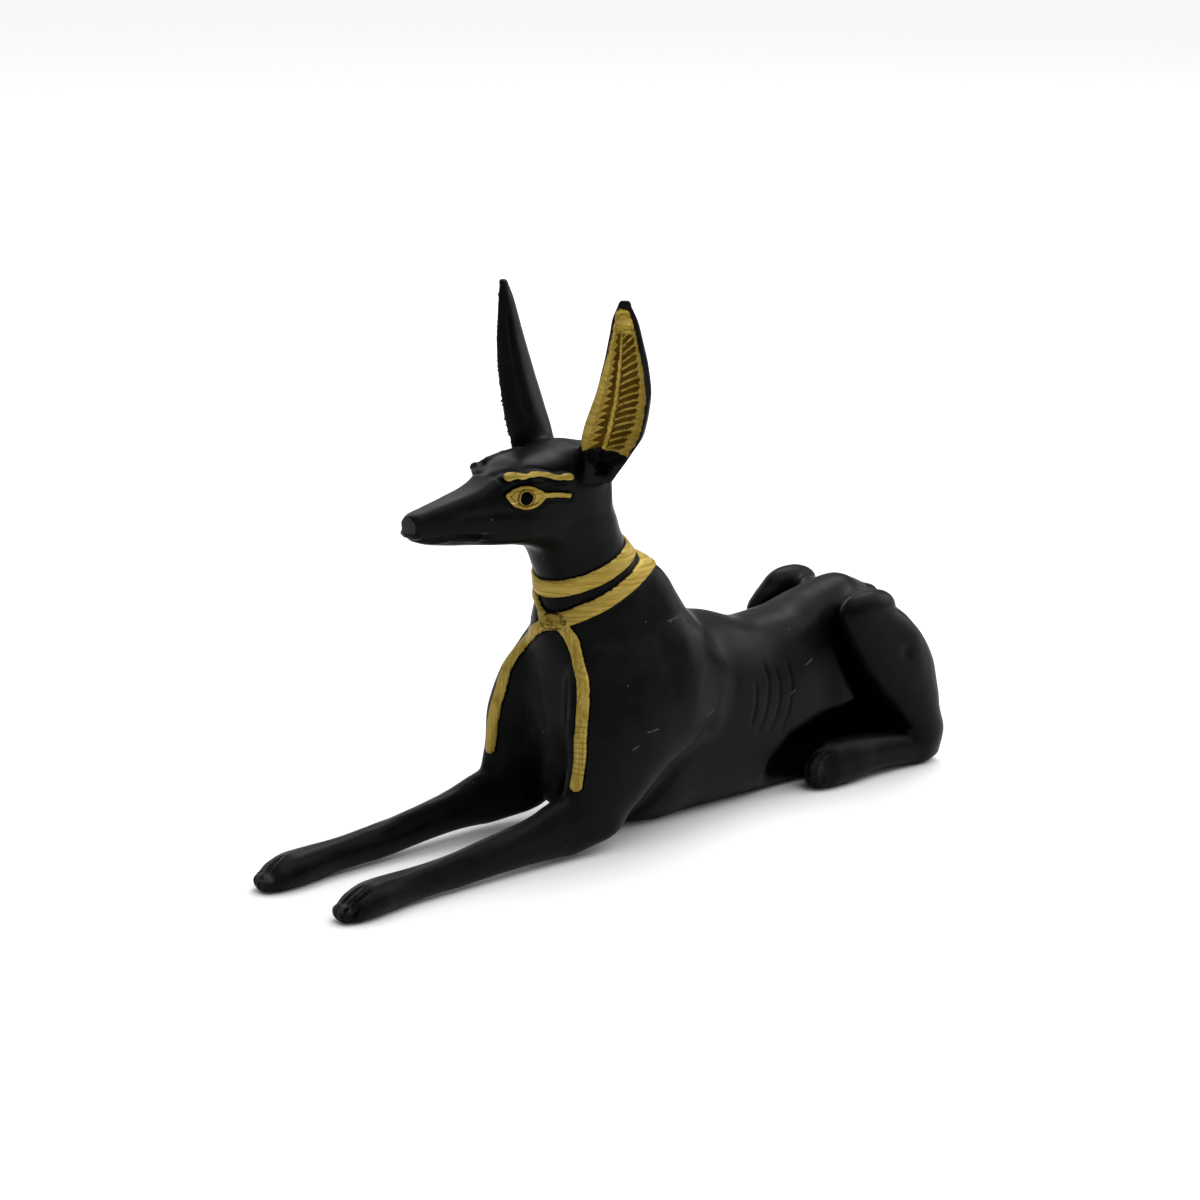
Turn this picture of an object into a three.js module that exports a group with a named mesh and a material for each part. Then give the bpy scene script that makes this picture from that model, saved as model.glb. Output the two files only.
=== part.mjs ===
// A recumbent jackal, cast as one solid: +Z up, millimetres, facing -Y, its left side towards +X.
// The body is a signed field, negative inside, which a regular lattice turns into a closed mesh.
import * as THREE from "three";

// Driving dimensions
const LENGTH = 200; // forepaws to heels
const COLLAR_WIDTH = 4.2; // each of the two bands round the neck
const COLLAR_RAISE = 0.75;
const RIBBON_WIDTH = 3.4; // the two ribbons that hang from the knot
const RIBBON_RAISE = 0.75;
const KNOT_RAISE = 0.95;
const EDGE_SOFTNESS = 0.55; // width of the slope at the edge of a raised band
const EYE_LINE_WIDTH = 1.3;
const EYE_LINE_RAISE = 0.55;
const BROW_WIDTH = 1.6;
const BROW_RAISE = 0.65;
const MOUTH_WIDTH = 1.5;
const MOUTH_DEPTH = 0.6;
const RIB_WIDTH = 1.7;
const RIB_DEPTH = 0.5;
const TOE_WIDTH = 2.1;
const TOE_DEPTH = 1.0;
const SHOULDER_FOLD_WIDTH = 6.4;
const SHOULDER_FOLD_DEPTH = 1.0;
const CHEST_FOLD_WIDTH = 2.6;
const CHEST_FOLD_DEPTH = 0.45;
const SOLE_ROUNDING = 0.5;

// The figure's proportions are laid out on 207 equal parts of its length
const PARTS = 207;
const UNIT = LENGTH / PARTS;

// How finely the surface is laid out
const LATTICE = 1.25 * UNIT;
const FINE_EDGE = 0.72 * UNIT;
const FLATNESS = 0.06 * UNIT; // how far the middle of a long edge may lie from the surface
const TRIANGLES = 9600;

const point = (x, y, z) => new THREE.Vector3(x, y, z).multiplyScalar(UNIT);
const clamp = THREE.MathUtils.clamp;
const ramp = (x) => THREE.MathUtils.smoothstep(x, 0, 1);
const bump = (x) => ramp(1 - Math.abs(x));

// Smooth meeting of two fields, as a fillet of about that radius
function join(a, b, radius) {
  const h = Math.max(radius - Math.abs(a - b), 0) / radius;
  return Math.min(a, b) - (h * h * h * radius) / 6;
}

const trim = (a, b, radius) => -join(-a, -b, radius);

// A smooth curve through the knots that never overshoots them, kept as an even table
class Profile {
  static STEPS = 256;

  constructor(knots, values) {
    const slope = knots.slice(1).map((k, i) => (values[i + 1] - values[i]) / (k - knots[i]));
    const tangent = knots.map((k, i) => this.tangent(knots, slope, i));
    this.start = knots[0];
    this.span = knots.at(-1) - knots[0];
    this.table = new Float64Array(Profile.STEPS + 1);
    let i = 0;
    for (let n = 0; n <= Profile.STEPS; n++) {
      const x = this.start + (this.span * n) / Profile.STEPS;
      while (i < knots.length - 2 && x >= knots[i + 1]) i++;
      const h = knots[i + 1] - knots[i];
      const t = (x - knots[i]) / h;
      this.table[n] = (1 + 2 * t) * (1 - t) ** 2 * values[i] + t * (1 - t) ** 2 * h * tangent[i]
        + t * t * (3 - 2 * t) * values[i + 1] + t * t * (t - 1) * h * tangent[i + 1];
    }
  }

  tangent(knots, slope, i) {
    if (i === 0) return slope[0];
    if (i === knots.length - 1) return slope.at(-1);
    if (slope[i - 1] * slope[i] <= 0) return 0;
    const before = knots[i] - knots[i - 1];
    const after = knots[i + 1] - knots[i];
    const [w0, w1] = [2 * after + before, after + 2 * before];
    return (w0 + w1) / (w0 / slope[i - 1] + w1 / slope[i]);
  }

  at(x) {
    const s = clamp((x - this.start) / this.span, 0, 1) * Profile.STEPS;
    const n = Math.min(Math.floor(s), Profile.STEPS - 1);
    return this.table[n] + (this.table[n + 1] - this.table[n]) * (s - n);
  }
}

// Distance to a rounded box-like oval of half sizes a, b, c; the power squares it up
function oval(u, v, w, a, b, c, power) {
  const [x, y, z] = [u / a, v / b, w / c];
  const [px, py, pz] = [x ** (power - 1), y ** (power - 1), z ** (power - 1)];
  const f = Math.max(px * x + py * y + pz * z, 1e-9) ** (1 / power);
  const steep = Math.hypot(px / a, py / b, pz / c) / f ** (power - 1);
  return (f - 1) / Math.max(steep, 0.02 / UNIT);
}

// Oval sections strung along one axis. A station gives its place, the section's centre across and up,
// its half width, its reach up and down, its power and how much it widens upward.
const WIDEST_TAPER = 1.1;

class Limb {
  constructor({ along, across, up, caps, power = 2.2, stations }) {
    Object.assign(this, { along, across, up });
    const rows = stations.map((s) => [...s.slice(0, 6).map((x) => x * UNIT), s[6] ?? power, s[7] ?? 0]);
    rows.sort((a, b) => a[0] - b[0]);
    const places = rows.map((row) => row[0]);
    this.curves = [1, 2, 3, 4, 5, 6, 7].map((j) => new Profile(places, rows.map((row) => row[j])));
    this.low = places[0];
    this.high = places.at(-1);
    this.caps = caps.map((x) => x * UNIT);
    this.box = new THREE.Box3();
    for (const [place, cu, cv, half, over, under] of rows) {
      for (const [du, dv] of [[half, over], [-half, -under]]) {
        const corner = new THREE.Vector3();
        corner[along] = place + (du > 0 ? this.caps[1] : -this.caps[0]);
        corner[across] = cu + du * WIDEST_TAPER;
        corner[up] = cv + dv;
        this.box.expandByPoint(corner);
      }
    }
  }

  distance(p) {
    const k = p[this.along];
    const t = clamp(k, this.low, this.high);
    const [cu, cv, half, over, under, power, taper] = this.curves.map((curve) => curve.at(t));
    const v = p[this.up] - cv;
    const reach = v > 0 ? over : under;
    const width = half * (1 + taper * clamp(v / reach, -1.2, 1.2));
    const cap = k > t ? this.caps[1] : this.caps[0];
    return oval(Math.abs(p[this.across] - cu), Math.abs(v), Math.abs(k - t), width, reach, cap, power);
  }
}

const LENGTHWISE = { along: "y", across: "x", up: "z" };
const UPRIGHT = { along: "z", across: "x", up: "y" };

const torso = new Limb({
  ...LENGTHWISE,
  caps: [9.5, 6.2],
  stations: [
    [-15, 0, 33, 13.0, 13.0, 25.0, 2.2],
    [-6, 0, 28, 16.5, 21.0, 27.0, 2.2],
    [5, 0, 26, 17.5, 24.9, 27.4, 2.2],
    [16, 0, 24, 17.3, 27.8, 25.4, 2.1],
    [28, 0, 22, 16.7, 28.7, 23.4, 2.2],
    [45, 0, 20, 15.4, 26.2, 21.4, 2.4],
    [57, 0, 20, 14.4, 26.8, 21.4, 2.6],
    [66, 0, 20, 13.4, 29.4, 21.4, 2.4],
    [80, 0, 20, 13.0, 31.8, 21.4, 2.2],
    [88, 0, 20, 12.0, 28.2, 21.4, 2.1],
    [93, 0, 20, 10.6, 22.0, 20.8, 2.1],
  ],
});

const neck = new Limb({
  ...UPRIGHT,
  caps: [14, 4],
  stations: [
    [40, 0, 0, 15.5, 22.0, 24.0, 2.2],
    [48, 0, -1, 15.5, 21.0, 24.8, 2.2],
    [55, 0, -4, 14.4, 20.6, 22.8, 2.1],
    [62, 0, -8, 12.2, 17.2, 17.6, 2.1],
    [68, 0, -11, 11.1, 14.5, 14.9, 2.1],
    [74, 0, -14, 10.6, 13.3, 14.1, 2.1],
    [80, 0, -16, 10.3, 11.9, 13.7, 2.1],
    [86, 0, -17, 10.0, 10.9, 13.0, 2.0],
    [93, 0, -18, 9.4, 10.2, 10.0, 2.0],
  ],
});

const skull = new Limb({
  ...LENGTHWISE,
  caps: [1.0, 4.2],
  stations: [
    [-69, 0, 87.6, 3.2, 3.8, 3.0, 2.6, -0.05],
    [-65, 0, 87.7, 3.7, 4.6, 4.5, 2.6, -0.06],
    [-58, 0, 88.0, 4.7, 5.8, 6.1, 2.6, -0.08],
    [-50, 0, 88.5, 5.8, 7.2, 7.7, 2.6, -0.08],
    [-45, 0, 89.0, 6.9, 8.2, 8.9, 2.6, -0.04],
    [-41, 0, 89.5, 8.3, 9.1, 9.7, 2.8],
    [-36, 0, 90.0, 9.6, 10.5, 11.3, 2.9],
    [-28, 0, 90.0, 10.6, 11.6, 12.8, 2.7],
    [-20, 0, 90.0, 11.0, 12.8, 13.3, 2.4],
    [-13, 0, 89.5, 9.8, 12.0, 12.0, 2.1],
  ],
});

// The flat top of the muzzle, as height over place along the head
const muzzleTop = new Profile(
  [-72, -66, -58, -50, -45, -41, -38].map((y) => y * UNIT),
  [90.6, 91.6, 93.1, 94.8, 96.8, 99.6, 104.2].map((z) => z * UNIT),
);

const upperArm = new Limb({
  ...UPRIGHT,
  caps: [4, 12],
  power: 2.1,
  stations: [
    [4, 14.2, -20, 5.2, 6.8, 7.0],
    [9, 14.7, -19, 5.9, 8.4, 9.8],
    [17, 15.4, -14, 6.9, 11.3, 17.6],
    [23, 15.3, -10, 7.5, 15.6, 20.8],
    [33, 14.6, -7, 8.2, 18.5, 23.2],
    [42, 12.9, -4, 8.0, 18.6, 23.7],
    [50, 10.0, -1, 6.7, 15.0, 21.8],
    [56, 7.0, 0, 4.4, 9.0, 14.6],
  ],
});

const forearm = new Limb({
  ...LENGTHWISE,
  caps: [2.0, 6],
  power: 2.0,
  stations: [
    [-103, 15.2, 2.4, 3.6, 2.2, 2.4],
    [-99.5, 15.2, 3.0, 5.0, 3.8, 3.4],
    [-95, 15.1, 3.6, 5.2, 4.6, 4.0],
    [-89, 15.0, 3.9, 4.5, 4.6, 4.1],
    [-81, 15.0, 4.1, 3.7, 4.5, 3.7],
    [-70, 15.0, 4.4, 3.6, 5.0, 3.9],
    [-55, 15.1, 4.9, 3.7, 6.4, 4.4],
    [-45, 15.2, 5.3, 4.0, 7.6, 4.9],
    [-34, 15.3, 5.6, 4.5, 10.3, 5.5],
    [-22, 15.4, 6.0, 5.1, 11.9, 6.5],
  ],
});

const haunch = new Limb({
  ...UPRIGHT,
  caps: [2.5, 8.2],
  power: 2.05,
  stations: [
    [3, 18.4, 95.0, 4.2, 5.6, 5.0],
    [8, 18.9, 95.0, 4.8, 7.0, 5.6],
    [14, 19.1, 93.0, 5.1, 6.4, 7.4],
    [20.5, 18.8, 89.5, 5.3, 8.2, 9.4],
    [30, 18.0, 85.5, 5.6, 10.8, 12.8],
    [37, 17.0, 82.8, 5.7, 10.2, 13.8],
    [42, 16.0, 80.4, 5.6, 9.6, 12.8],
    [43, 15.8, 80.0, 5.6, 9.6, 12.8],
  ],
});

const hindFoot = new Limb({
  ...LENGTHWISE,
  caps: [3.2, 6.6],
  power: 2.0,
  stations: [
    [56, 17.0, 3.2, 3.6, 2.6, 3.2],
    [60, 17.2, 4.0, 5.0, 4.8, 4.4],
    [66, 17.4, 4.3, 5.2, 5.5, 4.7],
    [76, 17.6, 4.7, 4.5, 5.0, 4.7],
    [93, 18.4, 5.0, 4.4, 4.9, 5.4],
  ],
});

// The casting is filled in between the belly and the hind feet, low down
const web = new Limb({
  ...LENGTHWISE,
  caps: [3, 3],
  power: 2.0,
  stations: [
    [62, 11.4, 0, 3.4, 5.0, 4.0],
    [70, 11.2, 0, 4.0, 5.6, 4.0],
    [82, 10.8, 0, 4.6, 5.8, 4.0],
    [93, 10.4, 0, 5.2, 5.8, 4.0],
  ],
});

const hip = new Limb({
  ...LENGTHWISE,
  caps: [6, 6],
  power: 2.0,
  stations: [
    [70, 9, 27, 5.5, 17, 24],
    [80, 10, 27, 9.2, 22, 26],
    [88, 11, 25, 8.8, 18, 23],
    [93, 10, 21, 7.4, 12.5, 19],
  ],
});

// Both sides of the head carry the same ridge over the eye
const browRidge = [
  [4.6, -43.3, 96.0],
  [8.0, -41.3, 97.3],
  [9.2, -35.8, 97.2],
  [9.8, -31.2, 95.9],
  [10.2, -26.6, 95.4],
].map((p) => point(...p));
const BROW_RIDGE_RADIUS = 1.2 * UNIT;

// An ear is a tapering blade, rounded behind and cut open in front along its whole height
class Ear {
  constructor() {
    this.base = point(11.3, -17.5, 95.5);
    this.tip = point(22.3, -19.0, 139.6);
    const stalk = this.tip.clone().sub(this.base);
    this.height = stalk.length();
    this.axis = stalk.normalize();
    const turned = THREE.MathUtils.degToRad(57);
    this.front = new THREE.Vector3(Math.sin(turned), -Math.cos(turned), 0);
    this.front.addScaledVector(this.axis, -this.front.dot(this.axis)).normalize();
    this.side = new THREE.Vector3().crossVectors(this.axis, this.front);
    if (this.side.y < 0) this.side.negate();
    const full = this.height / UNIT;
    const profile = (values) => {
      const knots = [0, 7, 13, 23, 30, 37, 41, full];
      return new Profile(knots.map((k) => k * UNIT), values.map((v) => v * UNIT));
    };
    this.half = profile([3.6, 5.6, 7.0, 6.3, 5.1, 3.7, 2.7, 0.9]);
    this.thick = profile([4.6, 5.0, 4.9, 4.3, 3.5, 2.5, 1.8, 0.8]);
    this.lean = profile([-0.7, 0.5, 1.8, 2.3, 1.8, 0.9, 0.4, 0.0]);
    this.swell = profile([0.8, 1.5, 2.1, 2.5, 2.1, 1.2, 0.6, 0.1]);
    this.hollowHalf = profile([2.0, 3.7, 4.7, 4.0, 2.9, 1.6, 0.9, 0.2]);
    this.hollowDepth = profile([2.0, 4.6, 5.2, 4.6, 3.6, 2.3, 1.4, 0.4]);
    this.lowest = 4 * UNIT;
    this.highest = this.height - 9 * UNIT;
    this.arm = new THREE.Vector3();
    this.box = new THREE.Box3().setFromPoints([this.base, this.tip]).expandByScalar(10 * UNIT);
  }

  distance(p) {
    const arm = this.arm.subVectors(p, this.base);
    const s = arm.dot(this.axis);
    const t = clamp(s, 0, this.height);
    const thick = this.thick.at(t);
    const u = arm.dot(this.side) - this.lean.at(t);
    const v = arm.dot(this.front) - this.swell.at(t);
    const mouth = v - 0.62 * thick;
    const blade = oval(Math.abs(u), Math.abs(v), Math.abs(s - t), this.half.at(t), thick, 1.2 * UNIT, 2.1);
    const softness = Math.min(0.9 * UNIT, 0.4 * thick);
    const open = trim(blade, mouth, softness);
    const inner = clamp(s, this.lowest, this.highest);
    const [wide, deep] = [this.hollowHalf.at(inner), this.hollowDepth.at(inner)];
    const hollow = oval(Math.abs(u), Math.abs(mouth), Math.abs(s - inner), wide, deep, 3 * UNIT, 2);
    return trim(open, -hollow, softness);
  }
}

const ear = new Ear();

// Nearest point of a chain of straight steps: its distance, and how far along the chain it lies
const reach = new THREE.Vector3();
const step = new THREE.Vector3();

class Chain {
  constructor(points) {
    this.points = points;
    this.lengths = points.slice(1).map((p, i) => p.distanceTo(points[i]));
    this.total = this.lengths.reduce((a, b) => a + b, 0);
    this.bounds = new THREE.Box3().setFromPoints(points);
  }

  static through(...places) {
    const curve = new THREE.CatmullRomCurve3(places.map((p) => point(...p)), false, "catmullrom", 0.5);
    return new Chain(curve.getPoints((places.length - 1) * 3));
  }

  nearest(p) {
    let best = Infinity;
    let along = 0;
    let walked = 0;
    this.lengths.forEach((length, i) => {
      step.subVectors(this.points[i + 1], this.points[i]);
      reach.subVectors(p, this.points[i]);
      const t = clamp(reach.dot(step) / (length * length), 0, 1);
      const d = reach.addScaledVector(step, -t).lengthSq();
      if (d < best) {
        best = d;
        along = (walked + t * length) / this.total;
      }
      walked += length;
    });
    return { distance: Math.sqrt(best), along };
  }
}

const brow = new Chain(browRidge);

// The tail hangs down the middle of the rump and turns aside where it meets the ground
const tailPlaces = [
  [0, 86, 47, 3.0],
  [0, 92.5, 44, 3.3],
  [0, 96.5, 38, 3.4],
  [0, 98.4, 28, 3.3],
  [-0.6, 98.6, 17, 3.1],
  [-2.4, 98.0, 8, 2.9],
  [-5.6, 97.0, 3.6, 2.7],
  [-9, 96.4, 2.6, 2.4],
];
const tailPoints = tailPlaces.map(([x, y, z]) => point(x, y, z));
const tailRadii = tailPlaces.map((place) => place[3] * UNIT);

function tail(p) {
  let d = 1e6;
  for (let i = 0; i + 1 < tailPoints.length; i++) {
    step.subVectors(tailPoints[i + 1], tailPoints[i]);
    reach.subVectors(p, tailPoints[i]);
    const t = clamp(reach.dot(step) / step.lengthSq(), 0, 1);
    const radius = tailRadii[i] + (tailRadii[i + 1] - tailRadii[i]) * t;
    d = join(d, reach.addScaledVector(step, -t).length() - radius, 0.6 * UNIT);
  }
  return d;
}

// The legs lie flat at paw and elbow or heel and arch off the ground between; the forelegs lie
// a little to the figure's right, and its right one arches more.
const foreShift = -0.9 * UNIT;
const folded = new THREE.Vector3();

function forelegPlace(p) {
  const side = foreShift * ramp((-18 * UNIT - p.y) / (20 * UNIT));
  const lift = (p.x < 0 ? 2.6 : 0.8) * UNIT * bump((p.y + 40 * UNIT) / (30 * UNIT));
  return folded.set(Math.abs(p.x - side), p.y, p.z - lift * clamp(1 - p.z / (12 * UNIT), 0, 1));
}

function hindFootPlace(m) {
  const lift = UNIT * bump((m.y - 79 * UNIT) / (16 * UNIT));
  return folded.set(m.x, m.y, m.z - lift * clamp(1 - m.z / (8 * UNIT), 0, 1));
}

// Carved and raised lines; those given on the left side stand on both
const knotPlace = point(3.6, -25.9, 57.9);
const ribbons = [
  Chain.through([2.0, -26.5, 57.0], [-3.5, -26.2, 54.0], [-8.5, -24.4, 50.0], [-11.6, -25.8, 46.0],
    [-12.7, -28.0, 41.1], [-13.4, -29.4, 35.9], [-14.3, -30.6, 30.0], [-15.2, -30.9, 22.0]),
  Chain.through([5.0, -25.3, 57.4], [7.2, -24.1, 54.6], [9.1, -23.7, 51.3], [11.5, -24.7, 47.8],
    [14.5, -26.2, 43.9], [16.4, -28.0, 38.0], [17.2, -29.4, 31.9], [17.4, -30.0, 25.6], [17.1, -31.0, 19.2]),
];
const chestFolds = [
  Chain.through([-9.2, -26.3, 41.0], [-8.2, -25.7, 35.0], [-7.9, -24.5, 27.0]),
  Chain.through([-5.0, -25.1, 43.5], [-2.6, -25.4, 36.0], [-2.0, -24.4, 26.0]),
];
const eyeCentre = point(8.9, -39.0, 92.1);
const eyeLines = [
  Chain.through([6.6, -44.1, 93.0], [7.3, -42.0, 94.3], [8.4, -39.2, 94.7],
    [9.3, -36.6, 93.8], [9.9, -34.2, 92.2]),
  Chain.through([6.7, -44.1, 93.0], [7.8, -42.4, 90.9], [8.8, -39.3, 89.7],
    [9.5, -36.4, 90.4], [9.9, -34.2, 92.2]),
  Chain.through([9.9, -34.2, 92.2], [10.4, -30.6, 91.9], [10.7, -27.3, 91.3]),
];
const browLine = Chain.through([6.2, -43.5, 97.2], [7.5, -42.3, 98.0], [9.1, -40.6, 97.7],
  [9.9, -37.0, 98.0], [10.4, -34.2, 97.4], [10.9, -31.3, 96.4], [11.2, -27.3, 96.1]);
const mouth = Chain.through([0.0, -69.6, 85.0], [2.5, -68.4, 85.0], [3.3, -64.8, 84.7], [4.1, -60.6, 84.9],
  [4.8, -55.7, 84.5], [5.0, -52.1, 83.8], [5.4, -48.6, 83.3], [5.9, -45.9, 83.3]);
const shoulderFold = Chain.through([15.0, 9.2, 51.8], [17.7, 9.2, 46.9], [18.4, 11.3, 42.0],
  [18.5, 11.8, 35.0], [18.0, 10.6, 26.0], [17.0, 5.4, 18.3], [14.0, -0.7, 9.8], [9.9, -3.5, 4.5]);
const ribLines = [
  Chain.through([14.4, 31.0, 37.0], [15.5, 32.8, 31.2], [16.0, 33.4, 26.0], [16.3, 32.2, 20.0]),
  Chain.through([13.0, 37.0, 38.5], [14.7, 39.4, 32.0], [15.6, 39.4, 26.0], [15.9, 37.4, 20.0]),
  Chain.through([12.3, 42.0, 38.5], [14.6, 44.0, 31.0], [15.4, 43.6, 24.0], [15.7, 41.2, 17.6]),
  Chain.through([12.3, 46.2, 38.1], [14.5, 48.2, 30.1], [15.2, 47.8, 22.0], [15.2, 45.8, 15.5]),
];
const foreToes = [
  Chain.through([12.3, -104.4, 1.4], [12.6, -102.5, 4.7], [13.3, -98.5, 7.1], [14.0, -95.2, 8.2]),
  Chain.through([15.5, -104.8, 1.6], [15.6, -103.6, 4.4], [15.6, -99.3, 6.8], [15.5, -95.5, 8.0]),
  Chain.through([17.7, -103.4, 1.8], [18.1, -101.4, 4.2], [17.5, -97.9, 6.5], [16.8, -94.8, 7.6]),
];
const hindToes = [
  Chain.through([14.9, 53.8, 1.8], [14.6, 55.0, 5.0], [14.9, 58.9, 7.8], [15.6, 63.6, 9.3]),
  Chain.through([17.4, 53.2, 1.7], [17.4, 54.2, 5.3], [17.4, 58.5, 8.0], [17.8, 63.6, 9.6]),
  Chain.through([19.6, 54.3, 1.8], [19.8, 55.6, 4.8], [19.9, 59.3, 7.7], [19.7, 64.4, 9.1]),
];

// A raised line is level across its width and slopes off at its edges; a cut one is a soft trough
const raised = (distance, width, height, edge) => height * (1 - ramp((distance - width / 2) / edge + 0.5));
const cut = (distance, width, depth) => depth * bump(distance / (width / 2));
const fade = (along, share) => ramp(Math.min(along, 1 - along) / share);
const between = (x, low, high) => x > low * UNIT && x < high * UNIT;

// Height of the middle of each collar band, which rises towards the back of the neck
const upperBand = (p) => 74.8 * UNIT + 0.352 * p.y;
const lowerBand = (p) => {
  const near = Math.hypot(p.x - knotPlace.x, 0.3 * (p.y - knotPlace.y), 0.6 * (p.z - knotPlace.z));
  return 67.5 * UNIT + 0.34 * p.y - UNIT * bump(near / (8 * UNIT));
};
const BAND_TILT = 0.945; // cosine of the bands' tilt

function collarRelief(p) {
  const gap = Math.min(Math.abs(p.z - upperBand(p)), Math.abs(p.z - lowerBand(p))) * BAND_TILT;
  return COLLAR_RAISE * ramp((COLLAR_WIDTH / 2 - gap) / EDGE_SOFTNESS);
}

function chestRelief(p) {
  const knot = Math.hypot(0.8 * (p.x - knotPlace.x), 0.6 * (p.y - knotPlace.y), 1.05 * (p.z - knotPlace.z));
  let height = raised(knot, 5.2 * UNIT, KNOT_RAISE, 2 * EDGE_SOFTNESS);
  for (const ribbon of ribbons) {
    height = Math.max(height, raised(ribbon.nearest(p).distance, RIBBON_WIDTH, RIBBON_RAISE, EDGE_SOFTNESS));
  }
  for (const fold of chestFolds) {
    const { distance, along } = fold.nearest(p);
    height -= cut(distance, CHEST_FOLD_WIDTH, CHEST_FOLD_DEPTH) * fade(along, 0.2);
  }
  return height;
}

function faceRelief(m) {
  const line = Math.min(...eyeLines.map((eyeLine) => eyeLine.nearest(m).distance));
  const fromCentre = m.distanceTo(eyeCentre);
  let height = raised(line, EYE_LINE_WIDTH, EYE_LINE_RAISE, EYE_LINE_WIDTH / 2);
  height += raised(browLine.nearest(m).distance, BROW_WIDTH, BROW_RAISE, BROW_WIDTH / 2);
  height += 0.55 * ramp((2.1 * UNIT - fromCentre) / (1.2 * UNIT));
  const { distance, along } = mouth.nearest(m);
  height -= cut(distance, MOUTH_WIDTH, MOUTH_DEPTH) * ramp((1 - along) / 0.15);
  return height;
}

function flankRelief(m) {
  const fold = shoulderFold.nearest(m);
  let depth = cut(fold.distance, SHOULDER_FOLD_WIDTH, SHOULDER_FOLD_DEPTH) * ramp((fold.along - 0.05) / 0.3);
  for (const rib of ribLines) {
    const { distance, along } = rib.nearest(m);
    depth += cut(distance, RIB_WIDTH, RIB_DEPTH) * fade(along, 0.2);
  }
  return -depth;
}

function toeRelief(m, toes) {
  let depth = 0;
  for (const toe of toes) {
    const { distance, along } = toe.nearest(m);
    depth += cut(distance, TOE_WIDTH, TOE_DEPTH) * ramp((1 - along) / 0.3);
  }
  return -depth;
}

// How far the carving raises or lowers the surface at a point; m is the point on the left side
function relief(p, m) {
  let height = 0;
  if (between(p.z, 52, 80) && p.y < 25 * UNIT) height += collarRelief(p);
  if (between(p.y, -40, -20) && between(p.z, 14, 60)) height += chestRelief(p);
  if (between(p.z, 78, 102) && p.y < -22 * UNIT) height += faceRelief(m);
  if (between(p.y, -8, 54) && m.x > 7 * UNIT) height += flankRelief(m);
  if (p.y < -92 * UNIT) height += toeRelief(forelegPlace(p), foreToes);
  if (between(p.y, 48, 68) && p.z < 14 * UNIT && m.x > 10 * UNIT) height += toeRelief(m, hindToes);
  return height;
}

// The whole figure: limbs joined with fillets, carved, and cut level underneath
const mirrored = new THREE.Vector3();

const head = {
  box: skull.box.clone().expandByPoint(point(12, -45, 99)),
  distance(p) {
    const m = mirrored.set(Math.abs(p.x), p.y, p.z);
    const flat = trim(skull.distance(p), p.z - muzzleTop.at(p.y), 0.8 * UNIT);
    return join(flat, brow.nearest(m).distance - BROW_RIDGE_RADIUS, 2 * UNIT);
  },
};

const foreleg = {
  box: forearm.box.clone().expandByScalar(3 * UNIT),
  distance: (m, p) => forearm.distance(forelegPlace(p)),
};

const hindLeg = {
  box: haunch.box.clone().union(hindFoot.box).expandByScalar(UNIT),
  distance: (m) => join(haunch.distance(m), hindFoot.distance(hindFootPlace(m)), 3 * UNIT),
};

const tailPiece = {
  box: new THREE.Box3().setFromPoints(tailPoints).expandByScalar(4 * UNIT),
  distance: tail,
};

// Joins one more piece to the field, unless it lies too far off to matter
function add(d, piece, radius, p, whole) {
  if (piece.box.distanceToPoint(p) > Math.max(d, 0) + 2 * radius) return d;
  return join(d, piece.distance(p, whole), radius);
}

function form(p, m) {
  let d = join(torso.distance(p), neck.distance(p), 9 * UNIT);
  d = add(d, upperArm, 9 * UNIT, m);
  d = add(d, foreleg, 4 * UNIT, m, p);
  d = add(d, head, 4 * UNIT, p);
  d = add(d, ear, 4.6 * UNIT, m);
  d = add(d, hip, 5 * UNIT, m);
  d = add(d, web, 3 * UNIT, m);
  const behind = ramp((m.y - 76 * UNIT) / (14 * UNIT)) * ramp((m.z - 16 * UNIT) / (14 * UNIT));
  d = add(d, hindLeg, (2.4 + 6.6 * behind) * UNIT, m);
  return add(d, tailPiece, 2.4 * UNIT, p);
}

const leftSide = new THREE.Vector3();

function figure(p) {
  const m = leftSide.set(Math.abs(p.x), p.y, p.z);
  let d = form(p, m);
  if (Math.abs(d) < 4 * UNIT) d -= relief(p, m);
  return trim(d, -p.z, SOLE_ROUNDING);
}

// A lattice of cubes, each cut into six tetrahedra, gives a closed surface without gaps.
// Only blocks of the lattice that the surface can reach are measured.
const BLOCK = 4;
const TETRAHEDRA = [[1, 3], [1, 5], [2, 3], [2, 6], [4, 5], [4, 6]].map((middle) => [0, ...middle, 7]);

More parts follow.
